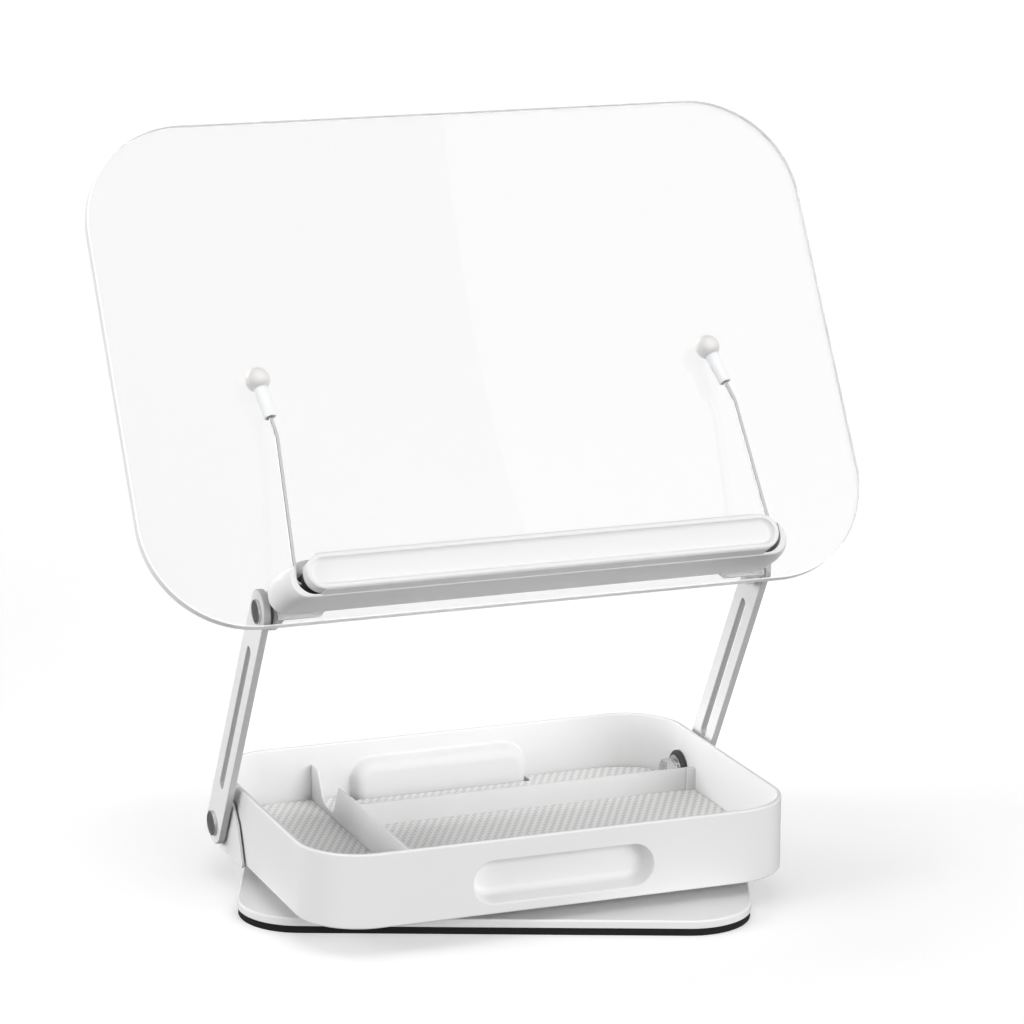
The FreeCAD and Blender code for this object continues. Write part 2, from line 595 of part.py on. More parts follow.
# Side divider: front to back, with a swooped dip where a pen lies across it
side = new_body("side_divider", TRAY)
sketch = new_sketch(side, "YZ", "side_divider_x")
back = "back_face - tray_wall - screw_play"
top = "liner_top + side_divider_height"
outline(sketch, [("-(front_face - tray_wall - screw_play)", "liner_top"), (back, "liner_top"),
                 (back, top, "1"), (f"{back} - swoop_tip", top, "5"),
                 (f"{back} - swoop_back", "liner_top + swoop_floor", "9"),
                 (f"{back} - swoop_front", "liner_top + swoop_floor", "4.5"),
                 (f"{back} - swoop_end", top, "1.6"),
                 ("-(front_face - tray_wall - screw_play)", top, "1")])
pad(side, sketch, "divider_sheet")
edge_x = number("side_divider_x")
tops = [flat_at("X", edge_x), flat_at("X", edge_x + number("divider_sheet"))]
round_edges(side, "divider_sheet * 0.35",
            lambda e: (tops[0](e) or tops[1](e)) and e.BoundBox.ZMax > number("liner_top") + 1
            and e.BoundBox.YLength > 0.5)

# Lower brackets: folded sheet outside the wall, its flange screwed under the tray
for label, sign in (("left_foot_bracket", -1), ("right_foot_bracket", 1)):
    foot = new_body(label, TRAY)
    sketch = new_sketch(foot, "YZ", f"{sign} * foot_in")
    outline(sketch, [("pivot_back + foot_rear", "-foot_sheet", "5"),
                     ("pivot_back + foot_rear", "pivot_height + foot_top", "12"),
                     ("pivot_back - 17", "pivot_height + foot_top", "10"),
                     ("pivot_back - foot_knee_y", "pivot_height + foot_knee_z", "9"),
                     ("pivot_back - foot_front", "-foot_sheet", "3")])
    pad(foot, sketch, "foot_sheet", Reversed=sign < 0)
    sketch = new_sketch(foot, "XY", "-foot_sheet")
    rounded_box(sketch, "foot_flange + foot_gap", "foot_front + foot_rear - 10", "3",
                f"{sign} * (wall_out + foot_gap - (foot_flange + foot_gap) / 2)",
                "pivot_back + (foot_rear - foot_front) / 2")
    pad(foot, sketch, "foot_sheet")
    sketch = new_sketch(foot, "YZ")
    circle(sketch, "pin_radius + screw_play", "pivot_back", "pivot_height")
    pocket_through(foot, sketch)
    sketch = new_sketch(foot, "XY", "0")
    for x, y in FOOT_SCREWS[:2] if sign < 0 else FOOT_SCREWS[2:]:
        circle(sketch, "screw_radius - 0.5 + screw_play", x, y)
    pocket(foot, sketch, "foot_sheet")

screws = []
for step, (x, y) in enumerate(FOOT_SCREWS):
    place = f"{TRAY} * placement(vector({x}; {y}; -foot_sheet); rotation(vector(1; 0; 0); 180))"
    screws.append(screw(f"foot_screw_{step}", place, "screw_radius + 0.8", "1.2", "screw_radius - 0.5",
                        "foot_sheet + tray_floor + 1.5"))
group_of("foot_screws", screws)

# Lower pivots: a bolt through arm, bracket and wall, with its friction stack inside the tray
for word, sign in (("left", -1), ("right", 1)):
    place = hinge_place(sign, "pivot_back", "pivot_z")
    bolt = new_body(word + "_pivot_bolt", place)
    turned(bolt, [("0", "nut_end - pin_tip"), ("pin_radius - 0.5", "nut_end - pin_tip"),
                  ("pin_radius", "nut_end - pin_tip + 0.5"), ("pin_radius", "arm_out"),
                  ("cap_radius", "arm_out"), ("cap_radius", "arm_out + cap_height", "0.6"),
                  ("0", "arm_out + cap_height")])
    bore = "pin_radius + pin_play"
    ring_body(word + "_pivot_washer", place, bore, "cap_radius", "foot_out", "arm_gap")
    ring_body(word + "_pivot_spacer", place, bore, "cap_radius + 1.5", "wall_out", "foot_in")
    ring_body(word + "_friction_disc", place, bore, "friction_radius", "friction_end", "seat_in")
    ring_body(word + "_steel_washer", place, bore, "steel_washer_radius", "washer_end", "friction_end")
    ring_body(word + "_spring_washer", place, bore, "steel_washer_radius - 2", "spring_end", "washer_end")
    hex_nut(word + "_pivot_nut", place, "nut_width", bore, "nut_end", "nut_height")

# Arms: flat bars with round ends and a long slot
for word, sign in (("left", -1), ("right", 1)):
    place = ("placement(vector(0; pivot_back; pivot_z); rotation(vector(1; 0; 0); arm_lean))")
    arm = new_body(word + "_arm", place)
    sketch = new_sketch(arm, "YZ", f"{sign} * arm_gap")
    pill(sketch, "arm_length / 2 + arm_radius", "arm_radius", "0", "arm_length / 2", along="y")
    pad(arm, sketch, "arm_sheet", Reversed=sign < 0)
    round_edges(arm, "arm_edge", lambda edge: edge.BoundBox.XLength < 0.01)
    sketch = new_sketch(arm, "YZ", "0")
    pill(sketch, "(arm_length - slot_low - slot_high) / 2", "slot_width / 2", "0",
         "(arm_length + slot_low - slot_high) / 2", along="y")
    pocket_through(arm, sketch)
    sketch = new_sketch(arm, "YZ", "0")
    circle(sketch, "pin_radius + pin_play")
    play = "pin_play" if sign < 0 else "open_pivot_play"
    circle(sketch, "hinge_pin_radius + " + play, "0", "arm_length")
    pocket_through(arm, sketch)

# Panel: clear acrylic sheet with large round corners and screw holes for the hinges
panel = new_body("acrylic_panel", REST)
sketch = new_sketch(panel, "XZ")
rounded_box(sketch, "panel_width", "panel_height", "panel_corner", y="panel_height / 2")
pad(panel, sketch, "panel_sheet", Reversed=True)
sheet_faces = [flat_at("Y", 0), flat_at("Y", number("panel_sheet"))]
round_edges(panel, "panel_edge", lambda e: sheet_faces[0](e) or sheet_faces[1](e))
HINGE_SCREWS = [(f"{sign} * hinge_screw_x", z) for sign in (-1, 1)
                for z in ("hinge_screw_low", "hinge_screw_high")]
sketch = new_sketch(panel, "XZ")
for x, z in HINGE_SCREWS:
    circle(sketch, "screw_radius + screw_play", x, z)
pocket_through(panel, sketch)

# Ledge housing: lofted through its sections from the panel's face to the bar's seat
housing = new_body("ledge_housing", REST)
as_lofted = {"Refine": False}
PLAN_START = "asin(plan_peak / plan_depth)"
PLAN_SWEEP = f"(asin((ledge_front - plan_peak) / plan_depth) + {PLAN_START})"
sections = []
for step in range(7):
    # One outline of the housing; along the depth its ends follow an oval
    turn = f"({PLAN_SWEEP} * {step} / 6 - {PLAN_START})"
    half = f"(ledge_half - plan_round + plan_round * cos({turn}))"
    sketch = new_sketch(housing, "XZ", f"plan_peak + plan_depth * sin({turn})")
    dome = [("ledge_top - dome_drop", "dome_side_round"), ("ledge_top", "dome_top_round")]
    outline(sketch, [(f"-{half}", "ledge_low", "end_low_round"), (half, "ledge_low", "end_low_round"),
                     (half, *dome[0]), (f"{half} - dome_reach", *dome[1]),
                     (f"dome_reach - {half}", *dome[1]), (f"-{half}", *dome[0])])
    sections.append(sketch)
feature(housing, "AdditiveLoft", sections[0], Sections=sections[1:], **as_lofted)
# Book shelf: a long trough between the end blocks
sketch = new_sketch(housing, "XZ", "shelf_front")
rounded_box(sketch, "2 * shelf_half", "2 * (ledge_top - ledge_low - shelf_floor)", "3", "0", "ledge_top")
pocket(housing, sketch, "shelf_front - shelf_rear_wall", **as_lofted)
# Seat for the bar's spigot
sketch = new_sketch(housing, "XZ", "ledge_front")
pill(sketch, "bar_half - spigot_short + screw_play", "bar_radius - spigot_inset + screw_play", y="bar_level")
pocket(housing, sketch, "spigot_depth + screw_play", **as_lofted)
# Chin: a wedge under the bar, between the housing's two end lips
sketch = new_sketch(housing, "YZ", "bar_radius - bar_half")
bar_low = "(ledge_low + lip_sheet)"
outline(sketch, [("-ledge_front", "ledge_low"), ("-ledge_front", bar_low), ("-chin_front", bar_low),
                 ("-chin_front", f"{bar_low} - chin_edge")])
pad(housing, sketch, "2 * (bar_half - bar_radius)", **as_lofted)
# End lips: a deep groove round each end of the bar is a crescent that widens outwards and is
# open at the top, so that the clip rod can swing in it; the rod's bush has a bore from there
for sign in (-1, 1):
    start, rise = f"{sign} * (bar_half - bar_radius)", "ledge_low + lip_sheet"
    sketch = new_sketch(housing, "XZ", "ledge_front")
    outline(sketch, [(start, f"{rise} - lip_play"),
                     (f"{sign} * lip_inner", f"{rise} - lip_play", "bar_radius + lip_play"),
                     (f"{sign} * lip_inner", "ledge_top + 2"), (start, "ledge_top + 2"),
                     (start, f"{rise} + 2 * bar_radius"),
                     (f"{sign} * bar_half", f"{rise} + 2 * bar_radius", "bar_radius - 0.01"),
                     (f"{sign} * bar_half", rise, "bar_radius - 0.01")])
    pocket(housing, sketch, "groove_depth", **as_lofted)
    sketch = new_sketch(housing, "YZ", f"{sign} * clip_bore_mouth")
    circle(sketch, "clip_bush_radius + screw_play", "-clip_out", "clip_up")
    pocket(housing, sketch, "clip_bore_mouth - clip_bush_inner", Reversed=sign < 0, **as_lofted)
sketch = new_sketch(housing, "XZ")
for x, z in HINGE_SCREWS:
    circle(sketch, "screw_radius + screw_play", x, z)
pocket(housing, sketch, "hinge_screw_length - leaf_back + 0.5", Reversed=True, **as_lofted)
BAR_SCREWS = [f"{step} * bar_screw_step" for step in (-1.5, -0.5, 0.5, 1.5)]
sketch = new_sketch(housing, "XZ", "shelf_front")
for x in BAR_SCREWS:
    circle(sketch, "screw_radius - 0.5 + screw_play", x, "bar_level")
pocket(housing, sketch, "shelf_front_wall", Reversed=True, **as_lofted)

# Ledge bar: a long pill with a shallow dished channel in its face
bar = new_body("ledge_bar", REST)
sketch = new_sketch(bar, "XZ", "ledge_front")
pill(sketch, "bar_half", "bar_radius", y="bar_level")
pad(bar, sketch, "bar_front - ledge_front")
round_edges(bar, "bar_round", flat_at("Y", -number("bar_front")))
sketch = new_sketch(bar, "XZ", "bar_front")
pill(sketch, "bar_half - trough_rim", "bar_radius - trough_rim", y="bar_level")
pocket(bar, sketch, "trough_depth")
round_edges(bar, "trough_round", flat_at("Y", -number("bar_front - trough_depth")))
sketch = new_sketch(bar, "XZ", "ledge_front")
pill(sketch, "bar_half - spigot_short", "bar_radius - spigot_inset", y="bar_level")
pad(bar, sketch, "spigot_depth", Reversed=True)
sketch = new_sketch(bar, "XZ", "ledge_front - spigot_depth")
for x in BAR_SCREWS:
    circle(sketch, "screw_radius - 0.5 + screw_play", x, "bar_level")
pocket(bar, sketch, "6", Reversed=True)

screws = []
for step, x in enumerate(BAR_SCREWS):
    place = f"{REST} * placement(vector({x}; -shelf_front; bar_level); rotation(vector(1; 0; 0); -90))"
    screws.append(screw(f"bar_screw_{step}", place, "screw_radius + 0.8", "1.6", "screw_radius - 0.5", "7"))
group_of("ledge_bar_screws", screws)

# Upper hinge brackets: a leaf screwed behind the panel with an ear back to the pivot
for word, sign in (("left", -1), ("right", 1)):
    leaf = new_body(word + "_hinge_bracket", REST)
    sketch = new_sketch(leaf, "XZ", "-panel_sheet")
    outline(sketch, [(f"{sign} * ear_outer", "leaf_low"), (f"{sign} * ear_outer", "leaf_top", "3"),
                     (f"{sign} * leaf_inner", "leaf_top", "5"),
                     (f"{sign} * leaf_inner", "leaf_low + leaf_chamfer"),
                     (f"{sign} * (leaf_inner + leaf_chamfer)", "leaf_low")])
    pad(leaf, sketch, "leaf_sheet", Reversed=True)
    sketch = new_sketch(leaf, "YZ", f"{sign} * ear_outer")
    low, high = "hinge_up - ear_radius", "hinge_up + ear_radius"
    end = "hinge_back + ear_radius"
    outline(sketch, [("panel_sheet", "leaf_low"), (end, "leaf_low - 1", "ear_radius - 0.6"),
                     (end, high, "ear_radius - 0.6"), ("leaf_back + 2", high, "3"),
                     ("panel_sheet", "leaf_top")])
    pad(leaf, sketch, "ear_sheet", Reversed=sign > 0)
    sketch = new_sketch(leaf, "YZ", "0")
    circle(sketch, "hinge_pin_radius + screw_play", "hinge_back", "hinge_up")
    pocket_through(leaf, sketch)
    sketch = new_sketch(leaf, "XZ", "-leaf_back")
    for x, z in HINGE_SCREWS[:2] if sign < 0 else HINGE_SCREWS[2:]:
        circle(sketch, "screw_radius + screw_play", x, z)
    pocket(leaf, sketch, "leaf_sheet", Reversed=True)

screws = []
for step, (x, z) in enumerate(HINGE_SCREWS):
    place = f"{REST} * placement(vector({x}; leaf_back; {z}); rotation(vector(1; 0; 0); -90))"
    screws.append(screw(f"hinge_screw_{step}", place, "screw_head", "screw_head_height", "screw_radius",
                        "hinge_screw_length"))
group_of("hinge_screws", screws)

# Upper pivots: a capped bolt through arm, washer and ear, with a nut behind the ear
for word, sign in (("left", -1), ("right", 1)):
    place = hinge_place(sign, "upper_y", "upper_z")
    bolt = new_body(word + "_hinge_bolt", place)
    turned(bolt, [("0", "ear_inner - hinge_nut_height - 1"),
                  ("hinge_pin_radius", "ear_inner - hinge_nut_height - 1", "0.6"),
                  ("hinge_pin_radius", "arm_out"), ("cap_radius", "arm_out"),
                  ("cap_radius", "arm_out + cap_height", "0.6"), ("0", "arm_out + cap_height")])
    bore = "hinge_pin_radius + pin_play"
    ring_body(word + "_hinge_washer", place, bore, "ear_radius - 1.5", "ear_outer", "arm_gap")
    hex_nut(word + "_hinge_nut", place, "hinge_nut_width", bore,
            "ear_inner - hinge_nut_height", "hinge_nut_height")

# Page clips: bent steel rods that turn in nylon bushes, each with a sleeve and a ball
for word, sign in (("left", -1), ("right", 1)):
    bush = new_body(word + "_clip_bush",
                    f"{REST} * placement(vector(0; -clip_out; clip_up); rotation(vector(0; 1; 0); {90 * sign}))")
    turned(bush, [("0", "clip_bush_inner"), ("clip_bush_radius", "clip_bush_inner"),
                  ("clip_bush_radius", "clip_bush_outer"), ("rod_radius + pin_play", "clip_bush_outer"),
                  ("rod_radius + pin_play", "rod_foot_inner - screw_play"),
                  ("0", "rod_foot_inner - screw_play")])

    foot_start = (f"{sign} * rod_foot_inner", "-clip_out", "clip_up")
    foot_end = (f"{sign} * rod_foot_x", "-clip_out", "clip_up")
    kink = (f"{sign} * {word}_kink_x", "-kink_out", "kink_up")
    tip = (f"{sign} * {word}_ball_x", "-ball_out", "ball_up")
    path = [Vector(*[number(part) for part in point]) for point in (foot_start, foot_end, kink, tip)]
    along = (path[3] - path[2]).normalize()
    sleeve_end = path[3] - along * number("sleeve_seat")
    rod_end = sleeve_end - along * (number("sleeve_length") - number("rod_grip") - number("sleeve_mouth"))
    path[3] = rod_end
    edges, last = [], path[0]
    for i, radius in ((1, number("rod_bend")), (2, number("rod_kink"))):
        back = (path[i - 1] - path[i]).normalize()
        ahead = (path[i + 1] - path[i]).normalize()
        half = back.getAngle(ahead) / 2
        reach = radius / math.tan(half)
        inward = (back + ahead).normalize()
        centre = path[i] + inward * (radius / math.sin(half))
        middle = centre - inward * radius
        edges.append(Part.LineSegment(last, path[i] + back * reach).toShape())
        edges.append(Part.Arc(path[i] + back * reach, middle, path[i] + ahead * reach).toShape())
        last = path[i] + ahead * reach
    edges.append(Part.LineSegment(last, path[3]).toShape())
    spine = Part.Wire(edges)
    profile = Part.Wire(Part.Circle(path[0], path[1] - path[0], number("rod_radius")).toShape())
    rod = doc.addObject("Part::Feature", word + "_clip_rod")
    rod.Label = word + "_clip_rod"
    rod.Shape = spine.makePipeShell([profile], True, True)
    rod.setExpression("Placement", bound(REST))
    nodes.append(rod)

    point = "vector({}; {}; {})".format(*tip)
    lean = "vector({} - ({}); {} - ({}); {} - ({}))".format(*[v for pair in zip(tip, kink) for v in pair])
    place = f"{REST} * placement({point}; rotation(vector(0; 0; 1); {lean}))"
    ball = new_body(word + "_clip_ball", place)
    sketch = new_sketch(ball, "XZ")
    radius = number("ball_tip_radius")
    arc = Part.ArcOfCircle(Part.Circle(Vector(0, 0, 0), Vector(0, 0, 1), radius), -math.pi / 2, math.pi / 2)
    rim = sketch.addGeometry(arc, False)
    chord = sketch.addGeometry(Part.LineSegment(Vector(0, radius, 0), Vector(0, -radius, 0)), False)
    sketch.addConstraint(Sketcher.Constraint("Coincident", rim, 2, chord, 1))
    sketch.addConstraint(Sketcher.Constraint("Coincident", chord, 2, rim, 1))
    sketch.addConstraint(Sketcher.Constraint("Coincident", rim, 3, -1, 1))
    sketch.addConstraint(Sketcher.Constraint("PointOnObject", chord, 1, -2))
    tie(sketch, "radius", "ball_tip_radius", "Radius", rim)
    feature(ball, "Revolution", sketch, Angle=360.0, ReferenceAxis=(sketch, ["V_Axis"]))
    sketch = new_sketch(ball, "XY", "-ball_tip_radius - 1")
    circle(sketch, "sleeve_wide + 0.02")
    pocket(ball, sketch, "ball_tip_radius + 1 - sleeve_seat", Reversed=True)
    sleeve = new_body(word + "_clip_sleeve", place)
    low = "-sleeve_seat - sleeve_length"
    turned(sleeve, [("0", "-sleeve_seat"), ("0", f"{low} + rod_grip + sleeve_mouth"),
                    ("rod_radius + 0.02", f"{low} + rod_grip + sleeve_mouth"),
                    ("rod_radius + 0.02", f"{low} + sleeve_mouth"),
                    ("sleeve_narrow - 0.7", low), ("sleeve_narrow", low), ("sleeve_wide", "-sleeve_seat")])

# Every object has to be sound before anything is written
doc.recompute()
for item in doc.Objects:
    if "Invalid" in item.State or "Error" in item.State:
        raise RuntimeError(f"{item.Name} is {item.State}")
for node in nodes:
    shape = node.Shape
    if shape.isNull() or not shape.isValid():
        raise RuntimeError(f"{node.Label} has no valid shape")
    shape.exportStep(f"parts/{node.Label}.step")
print(len(nodes), "nodes written")
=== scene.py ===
import math
import bmesh
import bpy
from mathutils import Matrix, Vector
from mathutils.geometry import tessellate_polygon


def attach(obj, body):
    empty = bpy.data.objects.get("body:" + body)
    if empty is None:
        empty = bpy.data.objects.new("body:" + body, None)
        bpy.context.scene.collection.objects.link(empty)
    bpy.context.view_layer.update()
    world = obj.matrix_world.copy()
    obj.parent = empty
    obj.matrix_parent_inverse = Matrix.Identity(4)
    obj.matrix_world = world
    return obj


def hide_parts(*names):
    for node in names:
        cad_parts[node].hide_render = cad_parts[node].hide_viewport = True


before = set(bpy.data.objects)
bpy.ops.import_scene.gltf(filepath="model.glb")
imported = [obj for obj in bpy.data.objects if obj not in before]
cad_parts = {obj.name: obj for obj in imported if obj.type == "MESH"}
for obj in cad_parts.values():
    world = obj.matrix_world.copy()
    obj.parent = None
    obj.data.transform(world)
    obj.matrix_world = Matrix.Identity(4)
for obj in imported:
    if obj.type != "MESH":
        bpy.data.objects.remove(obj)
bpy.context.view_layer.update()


# Rubber pad: a black rubber sheet with softened edges, moulded flat and glued under the base
# plate so that the stand doesn't slide. It is a hair smaller than the plate.
# Lengths are in millimetres, and outlines are closed loops of 2-D points, counter-clockwise
def rounded(corners, steps=10):
    """A polygon of (x, y, radius) corners with an arc at each."""
    loop = []
    for i, (x, y, radius) in enumerate(corners):
        here = Vector((x, y))
        back = (Vector(corners[i - 1][:2]) - here).normalized()
        ahead = (Vector(corners[(i + 1) % len(corners)][:2]) - here).normalized()
        if radius <= 0:
            loop.append(here)
            continue
        half = back.angle(ahead) / 2
        centre = here + (back + ahead).normalized() * radius / math.sin(half)
        first = here + back * radius / math.tan(half) - centre
        last = here + ahead * radius / math.tan(half) - centre
        turn = first.angle_signed(last)
        for k in range(steps + 1):
            angle = -turn * k / steps
            spun = Vector((first.x * math.cos(angle) - first.y * math.sin(angle),
                           first.x * math.sin(angle) + first.y * math.cos(angle)))
            loop.append(centre + spun)
    return loop


def box_loop(width, depth, radius, x=0, y=0, steps=16):
    a, b = width / 2, depth / 2
    return rounded([(x + a, y - b, radius), (x + a, y + b, radius),
                    (x - a, y + b, radius), (x - a, y - b, radius)], steps)


def inset(loop, distance):
    """The loop moved inwards by a distance; a negative one moves it outwards."""
    if abs(distance) < 1e-9:
        return [p.copy() for p in loop]
    moved = []
    for i, p in enumerate(loop):
        a, b = p - loop[i - 1], loop[(i + 1) % len(loop)] - p
        if a.length < 1e-7:
            a = loop[i - 1] - loop[i - 2]
        if b.length < 1e-7:
            b = loop[(i + 2) % len(loop)] - loop[(i + 1) % len(loop)]
        m, n = Vector((a.y, -a.x)).normalized(), Vector((b.y, -b.x)).normalized()
        moved.append(p - (m + n) * (distance / (1 + m.dot(n))))
    return moved


def quarter(steps):
    """Angles from 0 to a quarter turn."""
    return [math.pi / 2 * k / steps for k in range(steps + 1)]


UP = Matrix.Identity(4)


class Shell:
    """A mesh under construction: points in millimetres, faces, and a finish number per face."""

    def __init__(self):
        self.points, self.faces, self.paint, self.finish = [], [], [], 0

    def face(self, *corners):
        self.faces.append(corners)
        self.paint.append(self.finish)

    def add(self, points):
        """Add points and return their numbers."""
        start = len(self.points)
        self.points += points
        return list(range(start, len(self.points)))

    def ring(self, loop, depth, at=UP):
        return self.add([at @ Vector((p[0], p[1], depth)) for p in loop])

    def bands(self, rings):
        """Walls between rings that follow one another."""
        for a, b in zip(rings, rings[1:]):
            for i in range(len(a)):
                j = (i + 1) % len(a)
                self.face(a[i], a[j], b[j], b[i])

    def cap(self, *rings):
        """Fill the flat region inside the first ring and outside the others."""
        order = [i for ring in rings for i in ring]
        for triangle in tessellate_polygon([[self.points[i] for i in ring] for ring in rings]):
            self.face(*[order[k] for k in triangle])

    def slab(self, loop, low, high, edge=0.4, holes=(), at=UP, steps=4, edge_low=None, sides=0, bores=0):
        """A plate between two depths with rounded edges and holes; sides and bores are finish numbers."""
        edge_low = edge if edge_low is None else edge_low
        levels = [(low + edge_low - edge_low * math.cos(t), edge_low - edge_low * math.sin(t))
                  for t in quarter(steps)]
        levels += [(high - edge + edge * math.sin(t), edge - edge * math.cos(t)) for t in quarter(steps)]
        outer = [self.ring(inset(loop, gap), depth, at) for depth, gap in levels]
        self.finish = sides
        self.bands(outer)
        self.finish = bores
        inner = []
        for hole in holes:
            rings = [self.ring(inset(hole, -gap), depth, at) for depth, gap in levels]
            self.bands(rings)
            inner.append(rings)
        self.finish = 0
        self.cap(outer[0], *[rings[0] for rings in inner])
        self.cap(outer[-1], *[rings[-1] for rings in inner])


def mesh_object(name, shell, finishes, place=UP, sharp=32):
    """A Blender object of a shell, its points placed in the row frame in metres."""
    mesh = bpy.data.meshes.new(name)
    mesh.from_pydata([(place @ p) / 1000 for p in shell.points], [], shell.faces)
    for finish in finishes:
        mesh.materials.append(finish)
    mesh.polygons.foreach_set("material_index", shell.paint)
    grid = bmesh.new()
    grid.from_mesh(mesh)
    bmesh.ops.remove_doubles(grid, verts=grid.verts, dist=2e-7)
    bmesh.ops.dissolve_degenerate(grid, edges=grid.edges, dist=1e-7)
    bmesh.ops.recalc_face_normals(grid, faces=grid.faces)
    grid.to_mesh(mesh)
    grid.free()
    mesh.shade_smooth()
    mesh.set_sharp_from_angle(angle=math.radians(sharp))
    made = bpy.data.objects.new(name, mesh)
    bpy.context.scene.collection.objects.link(made)
    return made


def bake(made, kind, **settings):
    """Apply one modifier to an object and keep the result as its mesh."""
    modifier = made.modifiers.new(kind.lower(), kind)
    for key, setting in settings.items():
        setattr(modifier, key, setting)
    mesh = bpy.data.meshes.new_from_object(made.evaluated_get(bpy.context.evaluated_depsgraph_get()))
    made.modifiers.clear()
    made.data = mesh


def finished(made, body, nodes):
    """Let a finished object stand for CAD nodes and move with their body."""
    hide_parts(*nodes)
    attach(made, body)


def piece(name, shell, finishes, body, nodes, place=UP, sharp=32):
    """A piece made of one shell, with its flat faces shaded flat."""
    made = mesh_object(name, shell, finishes, place, sharp)
    bake(made, "WEIGHTED_NORMAL", keep_sharp=True)
    finished(made, body, nodes)


def linear(text):
    """An sRGB hex colour as linear values."""
    parts = [int(text[i:i + 2], 16) / 255 for i in (1, 3, 5)]
    return [c / 12.92 if c <= 0.04045 else ((c + 0.055) / 1.055) ** 2.4 for c in parts] + [1]


def node(tree, kind, links=(), **settings):
    """Add a node. A link is (input, source node, its output) or (input, constant)."""
    made = tree.nodes.new(kind)
    for key, setting in settings.items():
        if key in made.inputs:
            made.inputs[key].default_value = setting
        else:
            setattr(made, key, setting)
    for target, source, *output in links:
        if output:
            tree.links.new(source.outputs[output[0]], made.inputs[target])
        else:
            made.inputs[target].default_value = source
    return made


def new_material(name, colour, **settings):
    """A Principled material; settings name its inputs with spaces written as underscores."""
    made = bpy.data.materials.new(name)
    made.use_nodes = True
    inputs = made.node_tree.nodes["Principled BSDF"].inputs
    inputs["Base Color"].default_value = linear(colour)
    for key, setting in settings.items():
        inputs[key.replace("_", " ")].default_value = setting
    return made


def grain(material, size, height, stretch=(1, 1, 1)):
    """Fine surface texture: noise with grains of a size, raised to a height, in millimetres."""
    tree = material.node_tree
    place = node(tree, "ShaderNodeTexCoord")
    spread = node(tree, "ShaderNodeMapping", [("Vector", place, "Object")], Scale=stretch)
    noise = node(tree, "ShaderNodeTexNoise", [("Vector", spread, "Vector")], Scale=1000 / size, Detail=2.0)
    bump = node(tree, "ShaderNodeBump", [("Height", noise, 0)], Strength=1.0, Distance=height / 1000)
    tree.links.new(bump.outputs[0], tree.nodes["Principled BSDF"].inputs["Normal"])


# Moulded rubber: black and dull, with a coarse skin
rubber = new_material("black_rubber", "#1C1C1D", Roughness=0.75)
grain(rubber, size=1.11, height=0.04)

base_width, base_depth, base_corner = 270, 192, 34
pad_height, pad_gap = 4, 0.5
base_place = Matrix.Rotation(math.radians(-21.65), 4, "Z")
shell = Shell()
shell.slab(box_loop(base_width - 2 * pad_gap, base_depth - 2 * pad_gap, base_corner - pad_gap),
           0, pad_height, edge=0.5, steps=3)
piece("pad_rubber", shell, [rubber], "base", ["rubber_pad"], base_place)

# Base plate: a thick steel plate with round corners and an eased upper edge, powder-coated
# white. Its weight keeps the stand upright, and the turntable is screwed on top of it.
# Powder-coated steel: satin, with a slight orange peel
coat_white = new_material("powder_coated_steel_white", "#ECECEC", Roughness=0.33, IOR=1.5)
grain(coat_white, size=1.43, height=0.015)

plate_top = 8.5
shell = Shell()
shell.slab(box_loop(base_width, base_depth, base_corner, steps=24), pad_height, plate_top,
           edge=1.1, edge_low=0.4, steps=6)
piece("base_plate_coated", shell, [coat_white], "base", ["base_plate"], base_place)


# Bearing races: two stamped and plated steel rings with a ball groove each in the sides that
# face each other. One is screwed to the base plate and the other under the tray
def disc_loop(radius, x=0, y=0, steps=64):
    turns = [2 * math.pi * k / steps for k in range(steps)]
    return [Vector((x + radius * math.cos(t), y + radius * math.sin(t))) for t in turns]


def turned(shell, profile, at=UP, steps=72):
    """A solid of revolution about Z from a closed loop of (radius, height) points."""
    rings = [shell.ring(disc_loop(radius, steps=steps), height, at) for radius, height in profile]
    shell.bands(rings + [rings[0]])


# Plated steel: bright, slightly brushed
steel = new_material("plated_steel", "#C9C9CA", Roughness=0.22, Metallic=1.0)

ball_circle, ball_radius, ball_play, ball_count = 51, 1.8, 0.15, 20
groove_radius = ball_radius + ball_play
race_inner, race_outer, race_height, race_edge = 40, 62, 2, 0.3
swivel_gap = 6.5
tray_bottom = plate_top + swivel_gap
ball_level = plate_top + swivel_gap / 2
for name, level, way, body in (("lower", plate_top, 1, "base"), ("upper", tray_bottom, -1, "tray")):
    profile = [(race_inner, 0), (race_outer, 0), (race_outer, race_height - race_edge),
               (race_outer - race_edge, race_height)]
    for k in range(9):
        angle = math.radians(-40 - 100 * k / 8)
        profile.append((ball_circle + groove_radius * math.cos(angle),
                        swivel_gap / 2 + groove_radius * math.sin(angle)))
    profile += [(race_inner + race_edge, race_height), (race_inner, race_height - race_edge)]
    shell = Shell()
    turned(shell, [(radius, level + way * height) for radius, height in profile], steps=128)
    piece("race_" + name, shell, [steel], body, ["swivel_" + name + "_race"])

# Ball cage: a flat moulded nylon ring with a round pocket for each ball. It keeps the balls
# apart and turns with them at half the tray's speed.
# Natural nylon: off-white and waxy
nylon = new_material("natural_nylon", "#E2E1DC", Roughness=0.45)

cage_inner, cage_outer, cage_half = 47, 55, 0.6
pockets = []
for k in range(ball_count):
    angle = 2 * math.pi * k / ball_count
    pockets.append(disc_loop(groove_radius, ball_circle * math.cos(angle), ball_circle * math.sin(angle), 24))
shell = Shell()
shell.slab(disc_loop(cage_outer, steps=128), ball_level - cage_half, ball_level + cage_half, edge=0.2,
           holes=pockets + [disc_loop(cage_inner, steps=128)], steps=2)
piece("cage_nylon", shell, [nylon], "bearing_cage", ["ball_cage"])

